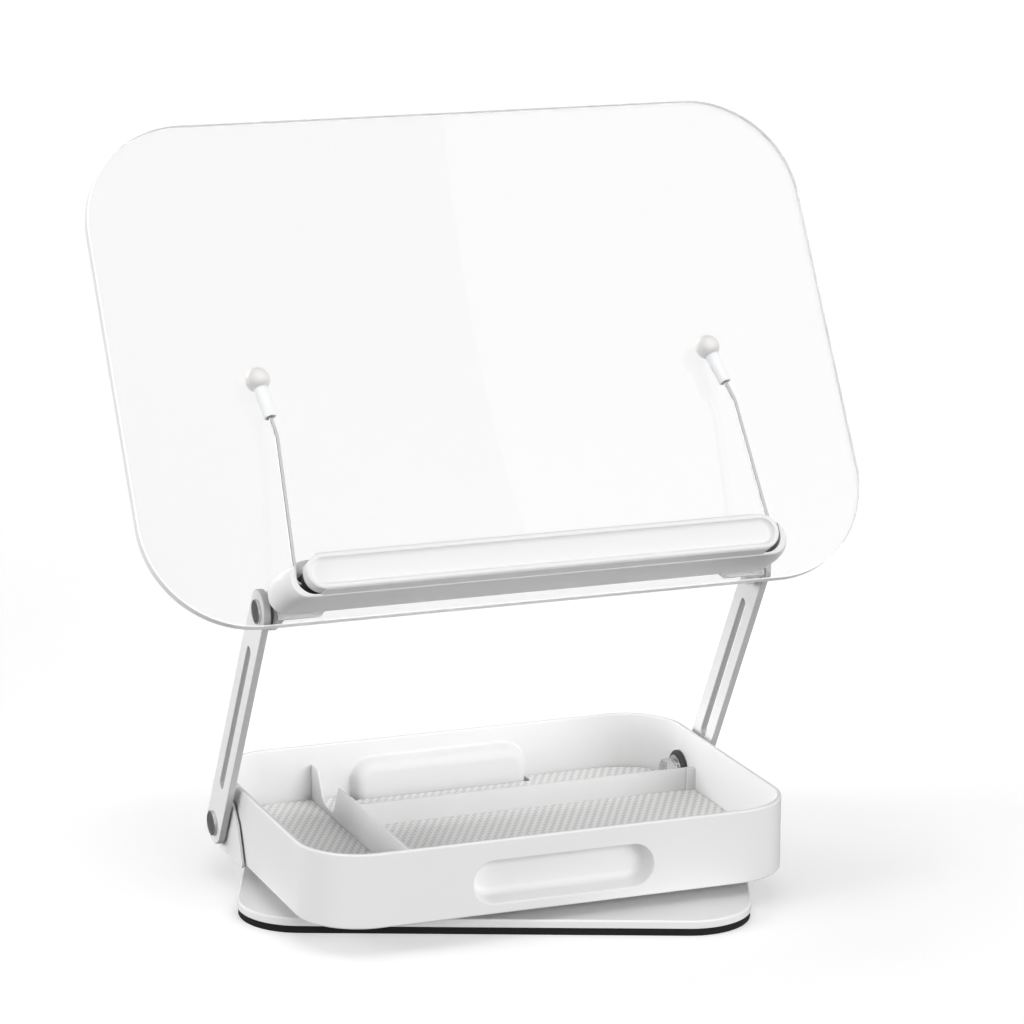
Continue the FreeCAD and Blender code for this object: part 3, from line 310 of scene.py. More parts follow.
# Bearing balls: hardened steel balls that lie in the cage's pockets and roll in both grooves.
# One ball is repeated round the circle
group = bpy.data.node_groups.new("bearing_balls_round_circle", "GeometryNodeTree")
for label, kind, default in (("Count", "NodeSocketInt", ball_count),
                             ("Circle Radius", "NodeSocketFloat", ball_circle / 1000),
                             ("Ball Radius", "NodeSocketFloat", ball_radius / 1000),
                             ("Height", "NodeSocketFloat", ball_level / 1000)):
    group.interface.new_socket(label, in_out="INPUT", socket_type=kind).default_value = default
group.interface.new_socket("Geometry", in_out="OUTPUT", socket_type="NodeSocketGeometry")
given = node(group, "NodeGroupInput")
circle = node(group, "GeometryNodeMeshCircle",
              [("Vertices", given, "Count"), ("Radius", given, "Circle Radius")])
ball = node(group, "GeometryNodeMeshUVSphere", [("Radius", given, "Ball Radius")], Segments=32, Rings=16)
spots = node(group, "GeometryNodeInstanceOnPoints", [("Points", circle, "Mesh"), ("Instance", ball, "Mesh")])
lift = node(group, "ShaderNodeCombineXYZ", [("Z", given, "Height")])
raised = node(group, "GeometryNodeTransform", [("Geometry", spots, 0), ("Translation", lift, 0)])
solid = node(group, "GeometryNodeRealizeInstances", [("Geometry", raised, 0)])
smooth = node(group, "GeometryNodeSetShadeSmooth", [("Geometry", solid, 0)])
dressed = node(group, "GeometryNodeSetMaterial", [("Geometry", smooth, 0)], Material=steel)
node(group, "NodeGroupOutput", [("Geometry", dressed, 0)])
balls = bpy.data.objects.new("balls_steel", bpy.data.meshes.new("balls_steel"))
bpy.context.scene.collection.objects.link(balls)
bake(balls, "NODES", node_group=group)
finished(balls, "bearing_cage", ["bearing_balls"])

# Hidden pieces: the swivel's bolt, washer, nut and screws are steel, and its bush, the floor
# board and the clip rods' bushes are nylon. They keep their CAD shape and take their material
for names, finish in ((("lower_race_screws", "upper_race_screws", "swivel_bolt", "swivel_washer",
                        "swivel_nut", "foot_screws"), steel),
                      (("swivel_bush", "left_clip_bush", "right_clip_bush", "floor_board"), nylon)):
    for name in names:
        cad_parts[name].data.materials.clear()
        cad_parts[name].data.materials.append(finish)


# Tray: one moulded ABS shell with a rounded rim. Its front and back walls have a drafted hand
# recess that shows as a boss inside; a guide holds the cross divider at the right wall, and a
# round seat for the hinge's friction disc stands on each side wall
def pill_loop(reach, radius, x=0, y=0, steps=32, upright=False):
    """Two half circles whose centres lie reach each side of the middle."""
    loop = []
    for side in (1, -1):
        for k in range(steps + 1):
            angle = math.pi * (k / steps - 0.5) + (0 if side > 0 else math.pi)
            loop.append(Vector((side * reach + radius * math.cos(angle), radius * math.sin(angle))))
    if upright:
        loop = [Vector((-p.y, p.x)) for p in loop]
    return [Vector((p.x + x, p.y + y)) for p in loop]


def hinge_line(y, z, sign):
    """Turns a piece made along +Z so that it points outwards along a hinge's line."""
    return Matrix.Translation((0, y, z)) @ Matrix.Rotation(math.radians(90 * sign), 4, "Y")


# 2-D x, y and depth become x, z and the distance in front of a sheet
FRONT = Matrix.Rotation(math.radians(90), 4, "X")

# Moulded ABS: white, with a fine spark-eroded texture that keeps highlights soft
abs_white = new_material("moulded_abs_white", "#E6E6E6", Roughness=0.38, IOR=1.5)
grain(abs_white, size=0.714, height=0.01)

tray_half, tray_front, tray_back, tray_corner, tray_top = 135, -99.3, 92.7, 34, 55
wall, rim, foot, fillet = 2.8, 1.2, 1.0, 0.9
floor_low, floor_top = 17.5, 18.4
recess_level, recess_reach, draft = 32.2, 38.5, math.radians(14)
# The straight of the front and back walls carries these points, between which the recess sits
stops = [-62, -50, -38.5, -19, 0, 19, 38.5, 50, 62]
outer, first = [], {}
for turn, x, y, straight in ((-90, 1, tray_front + tray_corner, None),
                             (0, 1, tray_back - tray_corner, tray_back),
                             (90, -1, tray_back - tray_corner, None),
                             (180, -1, tray_front + tray_corner, tray_front)):
    for k in range(25):
        angle = math.radians(turn + 90 * k / 24)
        outer.append(Vector((x * (tray_half - tray_corner) + tray_corner * math.cos(angle),
                             y + tray_corner * math.sin(angle))))
    if straight is not None:
        first[straight] = len(outer)
        outer += [Vector((stop, straight)) for stop in (stops if straight < 0 else reversed(stops))]


def recess_profile(mouth, start, edge, deep, bend):
    """(radius, depth) of a recess: an eased edge, a drafted side and a rounded floor."""
    profile = []
    for k in range(6):
        profile.append((mouth + edge - edge * math.sin(0.3 * k), start + edge - edge * math.cos(0.3 * k)))
    radius, depth = profile[-1]
    side = deep - bend + bend * math.sin(draft) - depth
    centre = radius - side * math.tan(draft) - bend * math.cos(draft)
    for k in range(11):
        angle = draft + (math.pi / 2 - draft) * k / 10
        profile.append((centre + bend * math.cos(angle), deep - bend + bend * math.sin(angle)))
    return profile


shell = Shell()
low_out, high_out = shell.ring(outer, 18), shell.ring(outer, 47)
low_in, high_in = shell.ring(inset(outer, wall), floor_top), shell.ring(inset(outer, wall), 47)
under = [shell.ring(inset(outer, foot - foot * math.sin(t)), tray_bottom + foot - foot * math.cos(t))
         for t in quarter(5)]
shell.bands(under + [low_out])
shell.cap(under[0])
crown = [shell.ring(inset(outer, rim - rim * math.cos(t)), tray_top - rim + rim * math.sin(t))
         for t in quarter(6)]
crown += [shell.ring(inset(outer, wall - rim + rim * math.sin(t)), tray_top - rim + rim * math.cos(t))
          for t in quarter(6)]
shell.bands([high_out] + crown + [high_in])
bottom = [shell.ring(inset(outer, wall + fillet - fillet * math.cos(t)), floor_top - fillet * math.sin(t))
          for t in quarter(4)[1:]]
shell.bands([low_in] + bottom)
shell.cap(bottom[-1])
span = len(stops) - 1
for low, high, profile in ((low_out, high_out, recess_profile(11.5, 0, 0.8, 10.6, 4.4)),
                           (low_in, high_in, recess_profile(12.6, wall, 1.4, 12.2, 6.0))):
    for i in range(len(outer)):
        j = (i + 1) % len(outer)
        if not any(start <= i < start + span for start in first.values()):
            shell.face(low[i], low[j], high[j], high[i])
    for face, start in first.items():
        rings = []
        for radius, depth in profile:
            if low is low_out:
                loop = pill_loop(recess_reach, radius, 0, recess_level)
            else:
                # The boss stands on the floor: round above, straight down below
                side = recess_reach + radius
                loop = rounded([(side, 19.4, 0.4), (side, recess_level + radius, radius),
                                (-side, recess_level + radius, radius), (-side, 19.4, 0.4)], 14)
            inwards = depth if face < 0 else -depth
            rings.append(shell.ring(loop, -(face + inwards), FRONT))
        shell.cap(low[start:start + span + 1] + high[start:start + span + 1][::-1], rings[0])
        shell.bands(rings)
        shell.cap(rings[-1])
# The guide: two ribs with the divider between them
divider_y, rib_gap = 35.1, 1.4
for y in (divider_y - rib_gap, divider_y + rib_gap):
    shell.slab(box_loop(5.6, 1.4, 0.4, 129.9, y, 4), floor_low, 36.4, edge=0.3, steps=2)
# The seats of the friction discs
pivot_y, pivot_z, seat_face = 52.9, 29.6, 131.6
hands = (("left", -1), ("right", 1))
for word, sign in hands:
    turned(shell, [(0, seat_face), (11.9, seat_face), (12, 131.7), (12, 133), (0, 133)],
           hinge_line(pivot_y, pivot_z, sign))
piece("tray_moulded", shell, [abs_white], "tray", ["tray_shell"], sharp=28)

# Liner: a flat mat of woven vinyl strands, die-cut clear of the two bosses and of the hinge
# hardware, that lies loose on the floor board.
# Woven vinyl: pale strands with painted shade on each strand's right side and in its dips; drawn coarser than
# real, to show
woven = new_material("woven_vinyl_liner", "#F2F2F1", Roughness=0.5)
tree = woven.node_tree
strand_width, strand_length = 2.3, 4.2
place = node(tree, "ShaderNodeTexCoord")
axes = node(tree, "ShaderNodeSeparateXYZ", [("Vector", place, "Object")])
columns = node(tree, "ShaderNodeMath", [(0, axes, "X"), (1, 1000 / strand_width)], operation="MULTIPLY")
rows = node(tree, "ShaderNodeMath", [(0, axes, "Y"), (1, 1000 / strand_length)], operation="MULTIPLY")
whole = [node(tree, "ShaderNodeMath", [(0, line, 0)], operation="FLOOR") for line in (columns, rows)]
parity = node(tree, "ShaderNodeMath", [(0, whole[0], 0), (1, whole[1], 0)], operation="ADD")
over = node(tree, "ShaderNodeMath", [(0, parity, 0), (1, 1.0)], operation="PINGPONG")
shades = []
for line, cross in ((columns, rows), (rows, columns)):
    # A strand falls away to its shaded side and dips where it passes under the other; both are painted as
    # shade
    across = node(tree, "ShaderNodeMath", [(0, line, 0)], operation="FRACT")
    fall = node(tree, "ShaderNodeMath", [(0, across, 0), (1, 2.2)], operation="POWER")
    along = node(tree, "ShaderNodeMath", [(0, cross, 0)], operation="FRACT")
    angle = node(tree, "ShaderNodeMath", [(0, along, 0), (1, math.pi)], operation="MULTIPLY")
    crest = node(tree, "ShaderNodeMath", [(0, angle, 0)], operation="SINE")
    dip = node(tree, "ShaderNodeMath", [(0, crest, 0), (1, 0.6)], operation="POWER")
    shades.append(node(tree, "ShaderNodeMath", [(0, fall, 0), (1, dip, 0)], operation="MULTIPLY"))
strand_height_and_shade = node(tree, "ShaderNodeMix", [(0, over, 0), (2, shades[0], 0), (3, shades[1], 0)])
bump = node(tree, "ShaderNodeBump", [("Height", strand_height_and_shade, 0)], Strength=1.0, Distance=0.0004, invert=True)
tree.links.new(bump.outputs[0], tree.nodes["Principled BSDF"].inputs["Normal"])
# Painted shade: the ramp darkens the strands where they fall away and where they dip
ramp = node(tree, "ShaderNodeValToRGB", [("Fac", strand_height_and_shade, 0)])
ramp.color_ramp.elements[0].color = linear("#F8F8F7")
ramp.color_ramp.elements[1].position = 0.8
ramp.color_ramp.elements[1].color = linear("#CFCFCF")
tree.links.new(ramp.outputs[0], tree.nodes["Principled BSDF"].inputs["Base Color"])

liner_low, liner_top = 23.2, 24.2
liner_half, liner_front, liner_back, liner_corner = 131.8, -96.1, 89.5, 30.8
boss_side, hardware_x, hardware_front, hardware_back = 52, 118.6, 40.0, 65.8
right_half = rounded([(boss_side, liner_front, 0.3), (liner_half, liner_front, liner_corner),
                      (liner_half, hardware_front, 0.5), (hardware_x, hardware_front, 2),
                      (hardware_x, hardware_back, 2), (131, hardware_back, 0.3), (126.5, 74.6, 6),
                      (118.5, 82.6, 6), (100.9, liner_back, 14), (boss_side, liner_back, 0.3),
                      (boss_side, 80, 2)], 8)
left_half = [Vector((-p.x, p.y)) for p in reversed(right_half)]
front_notch = [Vector((-boss_side, -86.9)), Vector((boss_side, -86.9))]
shell = Shell()
shell.slab(right_half + left_half + front_notch, liner_low, liner_top, edge=0.2, steps=2)
piece("liner_woven", shell, [woven], "tray", ["floor_liner"])

# Cross divider: a low moulded ABS sheet with an eased top edge. It stands on the liner between
# the side divider and the guide at the right wall
divider_sheet, divider_edge = 1.2, 0.45
shell = Shell()
shell.slab(box_loop(divider_sheet, 205.1, 0.25, steps=3), 0, 12.6, edge=divider_edge, edge_low=0.1)
place = Matrix.Translation((29.45, divider_y, liner_top)) @ Matrix.Rotation(math.radians(90), 4, "Z")
piece("divider_cross", shell, [abs_white], "tray", ["cross_divider"], place)

# Side divider: the same moulded sheet, set from front to back, with a swooped dip near its
# back end through which the left compartment is reached.
# 2-D x, y and depth become y, z and x
SIDE = Matrix(((0, 0, 1, 0), (1, 0, 0, 0), (0, 1, 0, 0), (0, 0, 0, 1)))
divider_x, divider_top, dip_level = -74.4, 44.3, 27.2
shell = Shell()
shell.slab(rounded([(-96.4, liner_top, 0.2), (89.8, liner_top, 0.2), (89.8, divider_top, 1),
                    (79.3, divider_top, 5), (69.8, dip_level, 9), (52.8, dip_level, 4.5),
                    (44.3, divider_top, 1.6), (-96.4, divider_top, 1)], 14),
           divider_x, divider_x + divider_sheet, edge=divider_edge, at=SIDE)
piece("divider_side", shell, [abs_white], "tray", ["side_divider"])

# Lower brackets: folded and coated steel sheet outside each side wall, with a flange that is
# screwed under the tray. They carry the arms' pivots
bracket_sheet = 1.5
bracket_face = tray_half + 1
for word, sign in hands:
    shell = Shell()
    low, high = sorted((sign * bracket_face, sign * (bracket_face + bracket_sheet)))
    shell.slab(rounded([(61.9, 13.5, 5), (61.9, 47, 12), (35.9, 47, 10), (25.8, 35.6, 9),
                        (16.5, 13.5, 3)], 12), low, high, at=SIDE)
    shell.slab(box_loop(21, 35.4, 3, sign * 126, 39.2), tray_bottom - bracket_sheet, tray_bottom, edge=0.3)
    piece("bracket_lower_" + word, shell, [coat_white], "tray",
          [word + "_foot_bracket"])


# Lower pivots: a turned bolt with a dished round cap outside. Nylon washers part the wall, the
# bracket and the arm; inside the tray a fibre disc, two steel washers and a hexagon nut set
# the friction. Profiles are (radius, distance from the middle)
def washer(shell, bore, radius, start, end, eased=(0.2, 0.2), at=UP):
    """A flat ring along Z with its outer edges eased at the two ends."""
    turned(shell, [(bore, start), (radius - eased[0], start), (radius, start + eased[0]),
                   (radius, end - eased[1]), (radius - eased[1], end), (bore, end)], at)


def hexagon(half, steps):
    """A hexagon's outline as many points, half its width across the flats from the middle."""
    loop = []
    for k in range(steps):
        turn = 2 * math.pi * k / steps
        wedge = (turn + math.pi / 6) % (math.pi / 3) - math.pi / 6
        radius = half / math.cos(wedge)
        loop.append(Vector((radius * math.cos(turn), radius * math.sin(turn))))
    return loop


# Brushed steel: dull with fine lines
brushed = new_material("brushed_steel", "#CDCDCE", Roughness=0.36, Metallic=1.0)
grain(brushed, size=1.11, height=0.01, stretch=(1, 1, 12))

# Friction fibre: dark grey and rough
fibre = new_material("grey_friction_fibre", "#3F3F40", Roughness=0.6)
grain(fibre, size=0.833, height=0.04)

pivot_bore = 4.05
arm_inner, arm_outer = 138.5, 142.1
nut_half, nut_face, nut_slope = 6.5, 6.45, 0.58
for word, sign in hands:
    line = hinge_line(pivot_y, pivot_z, sign)
    shell = Shell()
    turned(shell, [(0, 120.2), (3.4, 120.2), (4, 120.8), (4, arm_outer), (6.8, arm_outer), (6.8, 143.5),
                   (6.6, 143.9), (6.2, 144.1), (5.5, 144.1), (5.3, 143.9), (0, 143.9)])
    piece("pivot_bolt_" + word, shell, [brushed], "tray", [word + "_pivot_bolt"], line)
    shell = Shell()
    washer(shell, pivot_bore, 6.8, bracket_face + bracket_sheet, arm_inner)
    washer(shell, pivot_bore, 8.3, tray_half, bracket_face)
    piece("pivot_nylon_washers_" + word, shell, [nylon], "tray",
          [word + "_pivot_washer", word + "_pivot_spacer"], line)
    shell = Shell()
    washer(shell, pivot_bore, 11.5, 129.2, seat_face, (0.6, 0.5))
    piece("friction_disc_" + word, shell, [fibre], "tray", [word + "_friction_disc"],
          line)
    shell = Shell()
    washer(shell, pivot_bore, 9, 128, 129.2, (0.3, 0.1))
    washer(shell, pivot_bore, 7, 126.4, 128, (0.3, 0.1))
    # The nut's corners slope away from its round faces
    corners = hexagon(nut_half, 96)
    rings = []
    for height, way in ((121.4, 1), (126.4, -1)):
        face = shell.ring([p.normalized() * nut_face for p in corners], height)
        rim_ring = shell.add([Vector((p.x, p.y, height + way * (p.length - nut_face) * nut_slope))
                              for p in corners])
        bore = shell.ring(disc_loop(pivot_bore, steps=96), height)
        rings += [bore, face, rim_ring] if way > 0 else [rim_ring, face, bore]
    shell.bands(rings + [rings[0]])
    piece("pivot_steel_stack_" + word, shell, [steel], "tray",
          [word + "_steel_washer", word + "_spring_washer", word + "_pivot_nut"], line, sharp=25)

# Arms: flat bars punched from aluminium sheet, with full round ends, a long slot and softened
# edges. They swing on the lower pivots and carry the panel.
# Coated aluminium: pale silver white
arm_finish = new_material("coated_aluminium_pale", "#EBEBEB", Roughness=0.34, IOR=1.5)
grain(arm_finish, size=1.11, height=0.01)

# Painted shade: the arms' edges and slot walls take a darker, duller grey than the faces, for the shade on
# them
arm_edge_painted_shade = new_material("arm_edges_painted_shade_grey", "#BEBEBF", Roughness=0.55)

arm_length, arm_lean, arm_end, upper_bore = 158.2, math.radians(30), 11.5, 3.05
open_pivot_play = 0.1
for word, sign in hands:
    low, high = sorted((sign * arm_inner, sign * arm_outer))
    bore = upper_bore if sign < 0 else upper_bore + open_pivot_play
    holes = [pill_loop(49.6, 2.7, 0, 80.3, 16, True), disc_loop(pivot_bore), disc_loop(bore, 0, arm_length)]
    shell = Shell()
    # The edges and slot walls (finish 1) carry the painted shade
    shell.slab(pill_loop(arm_length / 2, arm_end, 0, arm_length / 2, 32, True), low, high, edge=0.55,
               holes=holes, at=SIDE, sides=1, bores=1)
    place = Matrix.Translation((0, pivot_y, pivot_z)) @ Matrix.Rotation(arm_lean, 4, "X")
    piece("arm_" + word, shell, [arm_finish, arm_edge_painted_shade], word + "_arm",
          [word + "_arm"], place)

# Panel: a sheet of clear cast acrylic with large round corners, flame-polished edges and four
# screw holes. It leans back on the arms' upper pivots and holds the book.
# Clear cast acrylic: polished, almost without tint
acrylic = new_material("clear_cast_acrylic", "#F6F6F6", Roughness=0.0, IOR=1.49, Transmission_Weight=1.0)

# Its edge: scatters light, and a weak painted glow (emission) stands in for the light the sheet pipes to it
acrylic_edge_painted_glow = new_material("polished_acrylic_edge_with_painted_glow", "#FBFCFC", Roughness=0.3, IOR=1.49,
                            Transmission_Weight=0.3, Emission_Color=(1, 1, 1, 1), Emission_Strength=0.12)

panel_width, panel_height, panel_corner, panel_sheet = 405, 276, 58, 6
screw_spots = [(x, z) for x in (-121, 121) for z in (12.5, 23.5)]
# The upper hinge's line, and the way from the panel's lower front edge to it
upper_y = pivot_y - arm_length * math.sin(arm_lean)
upper_z = pivot_z + arm_length * math.cos(arm_lean)
hinge_back, hinge_up = 18.8, 12.7
rest = Matrix.Translation((0, upper_y, upper_z)) @ Matrix.Rotation(math.radians(-31), 4, "X")
rest = rest @ Matrix.Translation((0, -hinge_back, -hinge_up))
shell = Shell()
shell.slab(box_loop(panel_width, panel_height, panel_corner, 0, panel_height / 2, 48), -panel_sheet, 0,
           edge=0.6, holes=[disc_loop(2.1, x, z, 32) for x, z in screw_spots], at=FRONT, sides=1, bores=1)
piece("panel_acrylic", shell, [acrylic, acrylic_edge_painted_glow], "book_rest", ["acrylic_panel"], rest)


# Ledge housing: a thick moulded ABS block, screwed on through the panel, whose domed ends curve
# back to it, with a book shelf sunk between them. In front a thin chin carries the bar, and a
# round lip at each end stands off the bar's end by a crescent gap, in which the clip rod swings
def housing_loop(half):
    return rounded([(half, ledge_low, 9.5), (half, 20.5, 8), (half - 14, ledge_top, 20),
                    (14 - half, ledge_top, 20), (-half, 20.5, 8), (-half, ledge_low, 9.5)], 10)


def housing_half(out):
    """Half the block's width at a distance in front of the panel: its ends are oval in plan."""
    return 134.1 + 7.4 * math.sqrt(max(0, 1 - ((out - dome_middle) / dome_radius) ** 2))


def cut(made, shell, operation="DIFFERENCE"):
    """Cut a closed shell from an object, or join it on, and keep the result as its mesh."""
    tool = mesh_object("cutter", shell, [abs_white], rest)
    bake(made, "BOOLEAN", operation=operation, solver="EXACT", object=tool)
    bpy.data.objects.remove(tool)


# Painted shade: the same ABS in dark grey, put deep in the end grooves where shadow falls
groove_painted_shade = new_material("abs_dark_grey_painted_shade", "#353536", Roughness=0.5, IOR=1.5)

ledge_low, ledge_top, ledge_front = 4.9, 28, 30
bar_level, bar_radius, bar_end = 15.9, 9.5, 120.7
dome_middle, dome_radius = 9.5, 21.5
panel_gap = 0.06
shell = Shell()
rings = [shell.ring(inset(housing_loop(housing_half(0)), 0.4), panel_gap, FRONT)]
back_turn = -math.asin(dome_middle / dome_radius)
front_turn = math.asin((ledge_front - dome_middle) / dome_radius)
for k in range(29):
    out = dome_middle + dome_radius * math.sin(back_turn + (front_turn - back_turn) * k / 28)
    out = min(max(out, 0.3), ledge_front - 1)
    rings.append(shell.ring(housing_loop(housing_half(out)), out, FRONT))
for t in quarter(5)[1:]:
    loop = inset(housing_loop(housing_half(ledge_front - 1)), 1 - math.cos(t))
    rings.append(shell.ring(loop, ledge_front - 1 + math.sin(t), FRONT))
# The flat top is left open between its corner arcs and closed round the shelf's mouth
top_edge = 32
for step, (a, b) in enumerate(zip(rings, rings[1:])):
    for i in range(len(a)):
        j = (i + 1) % len(a)
        if i != top_edge or not 1 <= step <= 28:
            shell.face(a[i], a[j], b[j], b[i])
border = [r[top_edge] for r in rings[1:30]] + [r[top_edge + 1] for r in reversed(rings[1:30])]
shelf_floor, shelf_edge, shelf_fillet = 10.4, 0.8, 2.0
shelf = [(shelf_edge - shelf_edge * math.sin(t), ledge_top - shelf_edge + shelf_edge * math.cos(t))
         for t in quarter(4)]
shelf += [(shelf_fillet * math.cos(t) - shelf_fillet, shelf_floor + shelf_fillet - shelf_fillet * math.sin(t))
          for t in quarter(6)]
mouth = box_loop(234, 22.5, 3, 0, -13.75)
wells = [shell.ring(inset(mouth, -gap), height) for gap, height in shelf]
shell.bands(wells)
shell.cap(wells[-1])
shell.cap(border, wells[0])
# Back face, and the socket in the front face round the bar's spigot
shell.cap(rings[0])
socket = [shell.ring(pill_loop(113.4, 7.8, 0, bar_level), depth, FRONT) for depth in (ledge_front, 26.9)]
shell.bands(socket)
shell.cap(socket[-1])
shell.cap(rings[-1], socket[0])
housing = mesh_object("ledge_housing_moulded", shell, [abs_white], rest, sharp=30)
chin = Shell()
chin.slab([Vector((-36.9, 6.25)), Vector((-26, ledge_low)), Vector((-26, 6.4)), Vector((-36.9, 6.4))],
          -122, 122, edge=0, at=SIDE, steps=1)
cut(housing, chin, "UNION")
# The crescent groove: its outer wall is the lip, its inner wall carries on the bar's round end
lip_x, lip_radius, groove_back, groove_top = 124.3, 9.7, 17.5, 33
groove = [Vector((lip_x + lip_radius * math.sin(t), bar_level - lip_radius * math.cos(t)))
          for t in quarter(24)]
groove += [Vector((lip_x + lip_radius, groove_top)), Vector((bar_end, groove_top))]
for k in range(49):
    turn = math.pi / 2 - math.pi * k / 48
    groove.append(Vector((bar_end + bar_radius * math.cos(turn), bar_level + bar_radius * math.sin(turn))))
for loop in ([Vector((-p.x, p.y)) for p in reversed(groove)], groove):
    slot = Shell()
    slot.slab(loop, groove_back, groove_top, edge=0, at=FRONT, steps=1)
    cut(housing, slot)
# Painted shade: the groove's inner wall below the rod takes the dark grey, for the shadow in the narrow gap
housing.data.materials.append(groove_painted_shade)
for polygon in housing.data.polygons:
    spot = rest.inverted() @ (polygon.center * 1000)
    reach = math.hypot(abs(spot.x) - bar_end, spot.z - bar_level)
    if abs(spot.x) > bar_end + 0.1 and abs(reach - bar_radius) < 0.05 and spot.z < bar_level + 2:
        polygon.material_index = len(housing.data.materials) - 1
housing.data.set_sharp_from_angle(angle=math.radians(30))
bake(housing, "WEIGHTED_NORMAL", keep_sharp=True)
finished(housing, "book_rest", ["ledge_housing"])

# Ledge bar: a long moulded ABS pill with a raised rim round a shallow dished channel. Its
# spigot sits in the housing's socket, and screws from the shelf hold it
spigot_reach, spigot_radius, bar_front = 113.5, 7.7, 38
rim_outer, rim_inner, rim_middle, dish, dish_floor = 1.3, 0.6, 6.9, 2.0, 35.2
profile = [(spigot_radius, 27), (spigot_radius, ledge_front), (9.2, ledge_front), (9.4, 30.1),
           (bar_radius, 30.3)]
profile += [(bar_radius - rim_outer + rim_outer * math.cos(t),
             bar_front - rim_outer + rim_outer * math.sin(t)) for t in quarter(8)]
profile += [(rim_middle + rim_inner * (1 - math.sin(t)), bar_front - rim_inner + rim_inner * math.cos(t))
            for t in quarter(5)]
profile += [(rim_middle - dish + dish * math.cos(t), dish_floor + dish - dish * math.sin(t))
            for t in quarter(8)]
shell = Shell()
rings = []
for step, (radius, out) in enumerate(profile):
    reach = spigot_reach if step < 2 else bar_end
    rings.append(shell.ring(pill_loop(reach, radius, 0, bar_level), out, FRONT))
shell.bands(rings)
shell.cap(rings[0])
shell.cap(rings[-1])
piece("ledge_bar_moulded", shell, [abs_white], "book_rest", ["ledge_bar"], rest)


# Ledge screws: small plated cap screws in a row through the shelf's front wall, which hold
# the bar from behind
def screw_head(shell, place, radius, height, socket, depth, length, shank):
    """A cap screw along +Z with a socket in its head."""
    turned(shell, [(0, -length), (shank, -length), (shank, 0), (radius, 0), (radius, height - 0.4),
                   (radius - 0.12, height - 0.12), (radius - 0.4, height), (socket * 1.12, height),
                   (socket * 1.12, height - depth), (0, height - depth)], place, 36)


backwards = Matrix.Rotation(math.radians(-90), 4, "X")
shell = Shell()
for x in (-84, -28, 28, 84):
    screw_head(shell, rest @ Matrix.Translation((x, -25, bar_level)) @ backwards, radius=2.8, height=1.6,
               socket=1.1, depth=0.9, length=7, shank=1.5)
piece("ledge_screws", shell, [steel], "book_rest", ["ledge_bar_screws"])

# Hinge screws: plated cap screws through the hinge's leaf and the panel into the housing
shell = Shell()
for x, z in screw_spots:
    screw_head(shell, rest @ Matrix.Translation((x, 8, z)) @ backwards, radius=3.8, height=2,
               socket=1.5, depth=1.2, length=17, shank=2)
piece("hinge_cap_screws", shell, [steel], "book_rest", ["hinge_screws"])

# Upper hinges: a folded and coated steel leaf behind the panel with an ear at its side, a
# black washer between ear and arm, a bolt with a capped head outside, and a nut inside.
# Black acetal: smooth and dull
acetal = new_material("black_acetal", "#2A2A2B", Roughness=0.5)

# Oxide-blacked steel of the disc in the bolt's cap: dark, with a soft shine
dark_cap = new_material("dark_oxide_steel", "#4C4C4D", Roughness=0.42, Metallic=0.6)

ear_inner, ear_outer = 132.4, 136.1
leaf_back = panel_sheet + 2
for word, sign in hands:
    leaf = rounded([(sign * x, z, radius) for x, z, radius in (
        (ear_outer, 3.7, 0.4), (ear_outer, 17, 4), (127, 28.5, 5), (108, 28.5, 5), (108, 8.7, 1),
        (113, 3.7, 1))][::sign], 8)
    shell = Shell()
    shell.slab(leaf, -leaf_back, -panel_sheet - panel_gap, edge=0.35,
               holes=[disc_loop(2.1, sign * 121, z, 32) for z in (12.5, 23.5)], at=FRONT)
    low, high = sorted((sign * ear_inner, sign * ear_outer))
    ear = rounded([(6, 3.7, 0.2), (28.8, 2.7, 9.4), (28.8, 22.7, 9.4), (10, 22.7, 1), (6, 19.5, 0.3)], 14)
    shell.slab(ear, low, high, holes=[disc_loop(3.1, hinge_back, hinge_up)], at=SIDE)
    piece("hinge_bracket_" + word, shell, [coat_white], "book_rest",
          [word + "_hinge_bracket"], rest)
    line = hinge_line(upper_y, upper_z, sign)
    shell = Shell()
    washer(shell, upper_bore, 8.5, ear_outer, arm_inner)
    piece("hinge_washer_black_" + word, shell, [acetal], "book_rest",
          [word + "_hinge_washer"], line)
    shell = Shell()
    turned(shell, [(0, 127), (2.4, 127), (3, 127.6), (3, arm_outer), (6.4, arm_outer), (6.4, 143.3),
                   (6.2, 143.6), (5.9, 143.7), (5.7, 143.6), (5.6, 143.3), (5.6, 142.9), (0, 142.9)])
    piece("hinge_bolt_" + word, shell, [steel], "book_rest", [word + "_hinge_bolt"], line)
    shell = Shell()
    turned(shell, [(0, 143), (5.5, 143), (5.5, 143.35), (5.3, 143.5), (0, 143.6)])
    made = mesh_object("hinge_cap_disc_" + word, shell, [dark_cap], line)
    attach(made, "book_rest")
    shell = Shell()
    shell.slab(hexagon(5, 72), 128, ear_inner, edge=0.35, holes=[disc_loop(upper_bore, steps=48)], steps=2)
    piece("hinge_nut_steel_" + word, shell, [steel], "book_rest", [word + "_hinge_nut"], line,
          sharp=25)


# Page clips: a bent rod of polished steel from its foot in the ledge, with a moulded frosted
# sleeve pushed on its end and a bead-blasted steel ball that presses on the page
def bent(points, radii, steps=14):
    """A path through points with an arc at each inner one."""
    path = [points[0]]
    for i, radius in enumerate(radii, 1):
        back = (points[i - 1] - points[i]).normalized()
        ahead = (points[i + 1] - points[i]).normalized()
        half = back.angle(ahead) / 2
        centre = points[i] + (back + ahead).normalized() * radius / math.sin(half)
        first = points[i] + back * radius / math.tan(half) - centre
        last = points[i] + ahead * radius / math.tan(half) - centre
        for k in range(steps + 1):
            path.append(centre + first.slerp(last, k / steps) * radius)
    return path + [points[-1]]


